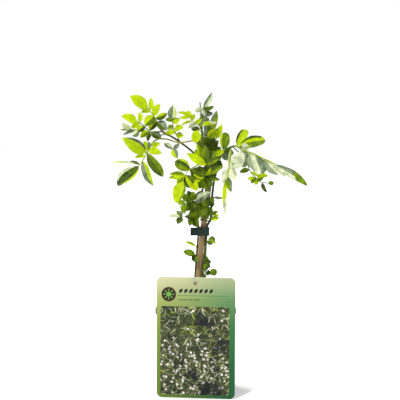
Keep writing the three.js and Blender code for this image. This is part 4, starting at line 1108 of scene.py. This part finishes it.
# finish, inside (left, right, front, back), height of the middle, tab (length, drop in degrees, rise)
CLIPS = {
    "clip_lower": ("clip_green", (1.6, 14.3, -3.8, 5), 174.8, (7.2, 0, 0)),
    "clip_upper": ("clip_blue", (9.2, 20.2, -5, 4), 242, (11, 38, 1)),
}
for name, (finish, inside, height, (length, drop, rise)) in CLIPS.items():
    draft, rows = Draft(), []
    for place, out in round_corners(*inside, BAND_CORNER):
        rows.append([draft.corner((place + out * d + Vector((0, 0, height + h))) * MM) for d, h in SECTION])
    draft.skin([*rows, rows[0]], wrap=True)
    root = Vector((inside[0] - BAND_WALL * 0.3, inside[2] + BAND_CORNER, height + rise))

    def on_tab(shift):
        """Brings points of the tab, whose own frame starts at its root, to the band."""
        def brought(point):
            turned = point + Vector((shift, 0, 0))
            turned.rotate(Quaternion((0, 1, 0), math.radians(-drop)))
            return (root + turned) * MM
        return brought

    tray(draft, on_tab(-length / 2), length, TAB_THICK, 2 * BAND_HALF, TAB_FRAME, TAB_SUNK, 1)
    for k in range(GRIPS):
        aside = GRIP_FIRST + GRIP_PITCH * k - length
        tray(draft, on_tab(aside), GRIP_WIDE, GRIP_THICK, GRIP_TALL, rim=0.1, sunk=0.02, floor_finish=0)
    draft.piece("moulded_" + name, [finish, "clip_window"], name, "clip", crease=30)
print("clips:", list(CLIPS))

# %% [markdown]
# ## The pot
#
# Nursery pots are thin, injection-moulded and charcoal grey: a flat rim band, a stacking ledge
# below it, a straight taper and a raised foot with drain holes. Turning one profile round the
# axis gives everything but the holes, which a Boolean cuts. The finish is satin plastic with
# faint flow streaks from the moulding and a dusting of dried soil near the foot.

# %% The pot's plastic
place = begin("pot_plastic")
flow = noise(stretched(place, 160, 160, 12), 1, 3)
dust = noise(place, 520, 4, 0.7)
low = ease(part_of(place, 2), 0.03, 0.002) * ease(dust, 0.42, 0.66)
dusty = low * 0.55 + ease(dust, 0.62, 0.74) * 0.2
colour = painted((16, 18, 19), (ease(flow, 0.4, 0.62), (26, 28, 29)), (dusty, (70, 60, 48)))
height = (noise(place, 2400, 2) * 0.5 + flow * 0.4) * MM
surface(place, colour, 0.45 + dust * 0.25, height, 0.12, shine=0.25)
print("pot finish: satin charcoal, dusty foot")

# %% Turn the pot
POT_HIGH, POT_NECK, POT_BASE, POT_WALL, RIM_DEEP = 90, 42.6, 32, 1.3, 6
RIM_RADIUS = 45
SHOULDER = POT_HIGH - RIM_DEEP
LEDGE = 0.35  # how far the stacking ledge stands out
POT_SIDES = 120


def outer(z):
    """The tapered wall's outside radius at a height, in millimetres."""
    return POT_BASE + (POT_NECK - POT_BASE) * z / SHOULDER


def inner(z):
    return outer(z) - POT_WALL


profile = [
    (0, 0.7), (27.4, 0.7), (28, 0), (31.3, 0), (31.9, 0.5),
    *((outer(z), z) for z in (3, 18, 36, 54, 66, 67)),
    (outer(67.6) + LEDGE, 67.6), (outer(69.4) + LEDGE, 69.4),
    *((outer(z), z) for z in (70, SHOULDER - 0.4)), (43.1, SHOULDER), (44.6, SHOULDER),
    (RIM_RADIUS, SHOULDER + 0.4), (RIM_RADIUS, 87.6), (44.86, 88.6), (44.5, 89.5), (43.9, 90), (43.3, 90),
    (42.75, 89.6), (42.4, 88.9), *((inner(z), z) for z in (88, 70, 40, 4)),
    (inner(3) - 0.6, 2.3), (inner(3) - 1.6, 1.8), (0, 1.8),
]
draft = Draft()
draft.skin([draft.ring(radius, z, POT_SIDES) for radius, z in profile], wrap=True)
pot = draft.piece("nursery_pot", ["pot_plastic"], "pot", "pot", crease=32)
print("pot:", len(profile), "points in its profile")

# %% Cut the drain holes
HOLES, HOLE_RADIUS, HOLE_RING = 6, 3.5 * MM, 23 * MM
holes = Draft()
for i in range(HOLES):
    turn = (i + 0.5) / HOLES * 2 * math.pi
    middle = Vector((math.cos(turn), math.sin(turn), 0)) * HOLE_RING
    drop = Route([middle + Vector((0, 0, z * MM)) for z in (-3, 0, 5)])
    holes.tube(drop, lambda share: HOLE_RADIUS, sides=32, rings=2)
drill = put("drill", holes.mesh("drill"))
cut = pot.modifiers.new("drain", "BOOLEAN")
cut.object, cut.operation, cut.solver = drill, "DIFFERENCE", "EXACT"
drilled = evaluated(pot)
pot.modifiers.clear()
pot.data = drilled
bpy.data.objects.remove(drill)
print("pot:", len(drilled.polygons), "faces with", HOLES, "drain holes")

# %% [markdown]
# ## The soil
#
# Potting soil is peat crumbs, bark and white perlite. The surface is a disc whose heights come
# from two layers of noise, with loose lumps half sunk in it, so that it looks like soil from
# above and not like a brown lid. The random draws are seeded and come in a fixed order.

# %% The soil's finishes


def soil_finish(name, dark, light, rough):
    place = begin(name)
    crumb = noise(place, 900, 5, 0.7)
    fleck = specks(place, 700, 0.3, 0.1)
    colour = painted(dark, (ease(crumb, 0.38, 0.64), light), (fleck * 0.35, (96, 74, 52)))
    surface(place, colour, rough, (crumb * 1.6 + fleck * 0.6) * MM, 0.6)


soil_finish("peat", (26, 18, 12), (62, 44, 30), 0.95)
soil_finish("bark_chip", (52, 32, 18), (112, 74, 44), 0.85)
soil_finish("perlite", (176, 172, 160), (214, 212, 204), 0.9)
print("soil finishes: peat, bark chip, perlite")

# %% The soil
SOIL_TOP, SOIL_RINGS, SOIL_SIDES = 80, 44, 132
CLEARANCE = 0.35  # between the soil and the pot's wall
CLODS = (0, 0.09, 1.1), (7, 0.34, 0.7)  # layer of the noise, its scale and its height


def room(z):
    return inner(z) - CLEARANCE


def ground(x, y):
    """The height of the soil's surface, in millimetres. It sinks towards the wall."""
    clods = sum(field.noise(Vector((x, y, layer)) * scale) * high for layer, scale, high in CLODS)
    return SOIL_TOP - 0.6 + clods - 0.9 * max(0, math.hypot(x, y) / 40 - 0.82)


draft = Draft()
SOIL_RADIUS = room(78)
profile = [(0, 2.1), (room(2.1) - 2, 2.1), (room(4), 4), (room(40), 40), (room(76), 76)]
profile += [(SOIL_RADIUS * (1 - i / SOIL_RINGS), ground) for i in range(SOIL_RINGS)] + [(0, ground)]
draft.skin([draft.ring(radius, height, SOIL_SIDES) for radius, height in profile], wrap=True)
print("soil:", len(draft.faces), "faces before the crumbs")

# %% Loose crumbs on the soil
CRUMBS, CRUMB_SIDES = 620, 7
STEM_ROOM = 3 * MM  # no crumb lies this near the middle of a stem or the cane


def crumb(draft, middle, size, chance, finish):
    """A small ball of uneven radius."""
    squeeze = Vector((chance.uniform(0.7, 1.2), chance.uniform(0.7, 1.2), chance.uniform(0.5, 0.8)))
    rows = [[draft.corner(middle - Vector((0, 0, size * squeeze.z)))] * CRUMB_SIDES]
    for level in (-0.55, 0.1, 0.7):
        reach = math.sqrt(1 - level * level)
        rows.append([])
        for k in range(CRUMB_SIDES):
            angle = 2 * math.pi * (k + level) / CRUMB_SIDES
            spot = Vector((math.cos(angle) * reach, math.sin(angle) * reach, level)) * squeeze
            rows[-1].append(draft.corner(middle + spot * size * chance.uniform(0.78, 1.15)))
    rows.append([draft.corner(middle + Vector((0, 0, size * squeeze.z)))] * CRUMB_SIDES)
    draft.skin(rows, finish, wrap=True)


chance = random.Random(5)
standing = [cane_route, *(stem_routes[name] for name in ("stem_left", "stem_right", "stem_leader"))]
feet = [route.height(SOIL_TOP * MM) for route in standing]
for _ in range(CRUMBS):
    radius, turn = SOIL_RADIUS * math.sqrt(chance.uniform(0, 0.9)), chance.uniform(0, 2 * math.pi)
    size = chance.choice((0.5, 0.7, 0.7, 0.9, 1.3, 1.7))
    finish = chance.choices((0, 1, 2), (6, 3, 1.4))[0]
    x, y = radius * math.cos(turn), radius * math.sin(turn)
    middle = Vector((x, y, ground(x, y) + size * 0.15)) * MM
    clear = all((middle - foot).to_2d().length > STEM_ROOM + size * MM for foot in feet)
    if clear and radius + size * 1.2 < SOIL_RADIUS:
        crumb(draft, middle, size * MM, chance, finish)
draft.piece("potting_soil", ["peat", "bark_chip", "perlite"], "soil", "soil", crease=60)
print("soil:", len(draft.faces), "faces")

# %% [markdown]
# ## The care label
#
# A thin plastic card hangs in front of the pot and hides most of it. The card's green ground
# runs from cream at the top to deep green at the bottom right. Its print is generic: a brown
# disc with a sun for the light that the plant wants, a row of small leaves over a rule, a row of
# dots, and a picture of small white blossom in narrow foliage. The picture is drawn by nodes.
# Each cell of a cell texture holds one leaf or blossom, turned by a random angle.

# %% Masks for a print
CARD_WIDE, CARD_TALL = 83.8, 130.6
PICTURE = (3.9, 77.7), (3.4, 99.2)  # its edges across and up the card, in millimetres
PICTURE_CORNER = 2.8


def distance(x, y):
    return (x * x + y * y) ** 0.5


def between(value, low, high, soft=0.2):
    """1 between low and high, with an edge of the width soft inside each."""
    return ease(value, low, low + soft) * ease(value, high, high - soft)


def picture_frame(x, y):
    """1 inside a rounded box on the card, with a crisp printed edge."""
    past = []
    for value, (low, high) in ((x, PICTURE[0]), (y, PICTURE[1])):
        flat_half = (high - low) / 2 - PICTURE_CORNER
        past.append((abs(value - (low + high) / 2) - flat_half).math("MAXIMUM", 0.0))
    return ease(distance(*past), PICTURE_CORNER + 0.12, PICTURE_CORNER - 0.12)


def repeated(value, pitch):
    """value counted from the middle of each of a row of stretches, each a pitch long."""
    return ((value / pitch).math("FRACT") - 0.5) * pitch


print("the picture's sides:", [round(high - low, 1) for low, high in PICTURE], "mm")

# %% Leaves and blossoms for a print


def drawn_of(chance, many):
    """Another random number from 0 to 1 for the same cell."""
    return (chance * many).math("FRACT")


def scatter(flat, pitch, seed):
    """(x, y, chance) in the cell of one scattered motif, turned by its own angle."""
    shifted = flat.node("VectorMath", {"operation": "ADD"}, {0: flat, 1: (seed * 7.3, seed * 3.1, 0)})
    cells = {"Vector": shifted, "Scale": 1 / pitch, "Randomness": 0.9}
    middle = flat.node("TexVoronoi", {"voronoi_dimensions": "2D"}, cells, out="Position")
    chance = flat.node("TexWhiteNoise", {"noise_dimensions": "2D"}, {"Vector": middle})
    offset = flat.node("VectorMath", {"operation": "SUBTRACT"}, {0: shifted, 1: middle})
    sockets = {"Vector": offset, "Angle": chance * 41}
    turned = flat.node("VectorRotate", {"rotation_type": "Z_AXIS"}, sockets)
    return part_of(turned, 0), part_of(turned, 1), chance


def blades(flat, pitch, seed, ground, colours, slim):
    """A layer of narrow leaves over the ground, each of its own tone between three colours."""
    x, y, chance = scatter(flat, pitch, seed)
    reach = (x * x) * (0.9 / pitch**2) + abs(y) * (slim / pitch)
    tone = drawn_of(chance, 17.3)
    dark, middle, light = colours
    colour = painted(
        dark, (ease(tone, 0.05, 0.55), middle), (ease(tone, 0.5, 0.95), light),
        (ease(abs(y), 0.14, 0.04) * 0.35, dark),
    )
    return tint(ease(reach, 0.6, 0.42), ground, colour)


def blossoms(flat, pitch, seed, ground, size, share):
    """Five-petalled flowers in a share of the cells, with a pale yellow eye."""
    x, y, chance = scatter(flat, pitch, seed)
    petal = abs((y.math("ARCTAN2", x) * 2.5).math("COSINE")) * 0.5 + 0.5
    far = distance(x, y)
    here = ease(drawn_of(chance, 29.7), share + 0.01, share - 0.01)
    colour = painted(
        (232, 226, 220), (ease(far, size * 0.4, size), (168, 158, 152)),
        (ease(drawn_of(chance, 11.9), 0.3, 1) * 0.5, (150, 138, 130)),
        (ease(far, size * 0.22, size * 0.1), (150, 132, 60)),
    )
    return tint(ease(far - petal * size, 0.1, -0.1) * here, ground, colour)


print("drawn by nodes: blades and blossoms")

# %% The label's picture
OLIVE = (20, 24, 12), (68, 74, 36), (152, 152, 106)
SAGE = (34, 44, 30), (92, 102, 68), (182, 184, 156)
LIME = (60, 76, 10), (116, 136, 18), (168, 182, 40)

flat = begin("label_print", "UV")
x, y = part_of(flat, 0), part_of(flat, 1)
shade = noise(flat, 0.045, 3)
grain = noise(flat, 0.4, 2)
picture = painted(
    (20, 24, 18), (ease(shade, 0.34, 0.6), (56, 62, 34)), (ease(grain, 0.44, 0.62) * 0.55, (88, 94, 58)),
)
layers = (7.5, OLIVE, 4.6), (6.2, SAGE, 6.0), (6.8, OLIVE, 6.6), (5.4, SAGE, 7.0)
for seed, (pitch, colours, slim) in enumerate(layers, 1):
    picture = blades(flat, pitch, seed, picture, colours, slim)
bright = ease(noise(flat, 0.03, 1), 0.5, 0.58) * 0.85
picture = tint(bright, picture, blades(flat, 6.0, 5, picture, LIME, 5.0))
crowd = ease(y, 72, 40) * 0.3
picture = blossoms(flat, 4.6, 6, picture, 1.25, crowd + 0.08)
picture = blossoms(flat, 5.4, 7, picture, 1.55, crowd + 0.04)
deep = tint(ease(shade, 0.42, 0.6), (10, 12, 26), (34, 38, 26))
low_right = ease(y, 44, 8) * 0.08 + ease(x, 34, 66) * 0.05
hollow = ease(noise(flat, 0.028, 1) + low_right, 0.56, 0.66)
picture = painted(picture, (hollow * 0.85, deep), (ease(shade, 0.6, 0.34) * 0.3, (14, 16, 22)))
print("drawn:", len(layers), "layers of leaves, a bright one and two of blossom")

# %% The label's ground and marks
SUN, SUN_RAYS = (12.8, 112.1), 8
ROW_LEFT = 23
LEAF_PITCH, LEAF_ROW = 5.4, 116
DOT_PITCH, DOT_ROW = 2.6, 106.4

heights = 0, 0.3, 0.6, 0.82, 1
left = (88, 110, 38), (92, 114, 38), (114, 130, 54), (148, 156, 88), (190, 186, 150)
right = (22, 76, 44), (32, 84, 48), (48, 100, 56), (84, 124, 78), (146, 158, 118)
ends = [run_of(y / CARD_TALL, list(zip(heights, colours))) for colours in (left, right)]
card = tint(ease(x, -12, 92), *ends)

sun_x, sun_y = x - SUN[0], y - SUN[1]
far = distance(sun_x, sun_y)
rays = ease((sun_y.math("ARCTAN2", sun_x) * SUN_RAYS).math("COSINE"), 0.35, 0.6) * between(far, 3.5, 5.7)
rule = ease(abs(y - 110.9), 0.45, 0.25) * between(x, 21.8, 76.6, 0.4)
leaf_x, leaf_y = repeated(x - ROW_LEFT, LEAF_PITCH), y - LEAF_ROW
length, breadth = leaf_x * 0.6 + leaf_y * 0.8, leaf_x * 0.8 - leaf_y * 0.6
leaves = ease(length * length * 0.11 + abs(breadth) * 0.6, 1.02, 0.9)
dots = ease(distance(repeated(x - ROW_LEFT, DOT_PITCH), y - DOT_ROW), 0.82, 0.66)
card = painted(
    card, (picture_frame(x, y), picture), (ease(far, 7.9, 7.65), (46, 30, 26)),
    (rays.math("MAXIMUM", ease(far, 2.8, 2.6)), (96, 150, 62)), (rule * 0.8, (48, 110, 60)),
    (leaves * between(x, ROW_LEFT - 0.2, 61), (26, 34, 30)),
    (dots * between(x, ROW_LEFT - 0.2, 46.5), (38, 52, 36)),
)

place = flat.node("TexCoord", out="Object")
height = (noise(place, 140, 2) * 0.5 + noise(place, 3000, 1) * 0.1) * MM
surface(place, card, 0.4 + noise(place, 300, 3) * 0.12, height, 0.12, shine=0.15)

place = begin("label_back")
cloud = noise(place, 300, 3)
surface(place, tint(cloud, (196, 200, 186), (216, 218, 206)), 0.4 + cloud * 0.15, cloud * MM, 0.12)
print("label print: disc, rule, leaf row, dot row, picture")

# %% [markdown]
# The card itself is a flat curve with a second curve inside it for the punched hole. Blender
# fills between them and a hair of bevel rounds the cut edge, which catches the light as real
# sheet plastic does. It stands against the pot's rim with its right edge turned forward.

# %% Cut and punch the card
CARD_THICK, CARD_CORNER, CARD_EDGE = 0.8 * MM, 5.5, 0.14 * MM
PUNCH_RADIUS, PUNCH_PLACE, PUNCH_SIDES = 2.5, Vector((-0.4, CARD_TALL - 6.5)), 40
HALF = CARD_WIDE / 2

curve = bpy.data.curves.new("card", "CURVE")
curve.dimensions, curve.fill_mode = "2D", "BOTH"
curve.bevel_depth, curve.bevel_resolution = CARD_EDGE, 2
curve.extrude = CARD_THICK / 2 - CARD_EDGE
rim = [place.to_2d() for place, _ in round_corners(-HALF, HALF, 0, CARD_TALL, CARD_CORNER, steps=10)]
turns = [2 * math.pi * k / PUNCH_SIDES for k in range(PUNCH_SIDES)]
punched = [PUNCH_PLACE + Vector((math.cos(a), math.sin(a))) * PUNCH_RADIUS for a in turns]
for outline in (rim, punched):
    spline = curve.splines.new("POLY")
    spline.points.add(len(outline) - 1)
    for point, (x, y) in zip(spline.points, outline):
        point.co = (x * MM, y * MM, 0, 1)
    spline.use_cyclic_u = True
flat_card = put("card", curve)
filled = evaluated(flat_card)
bpy.data.objects.remove(flat_card)
print("card:", len(filled.polygons), "faces")

# %% Hang the card
LEAN, TURN = math.radians(0.25), math.radians(5)
OFF, CLEAR = RIM_RADIUS + 0.3, 0.4  # in front of the pot's axis, and above the table

draft = Draft()
foot = Vector((OFF * math.tan(TURN), -OFF, CLEAR + HALF * math.sin(LEAN))) * MM
for vertex in filled.vertices:
    x, y, z = vertex.co
    spot = Vector((x, -CARD_THICK / 2 - z, y))
    spot.rotate(Quaternion((0, 1, 0), LEAN))
    spot += foot
    spot.rotate(Quaternion((0, 0, 1), -TURN))
    draft.corner(spot, x / MM + HALF, y / MM)
for polygon in filled.polygons:
    draft.face(list(polygon.vertices), 0 if polygon.normal.z > 0.5 else 1)
draft.piece("care_label", ["label_print", "label_back"], "label", "label", crease=30)
print("label:", len(draft.faces), "faces")

# %% [markdown] Update the scene
# The dressed plant must not outgrow the solids.

bpy.context.view_layer.update()
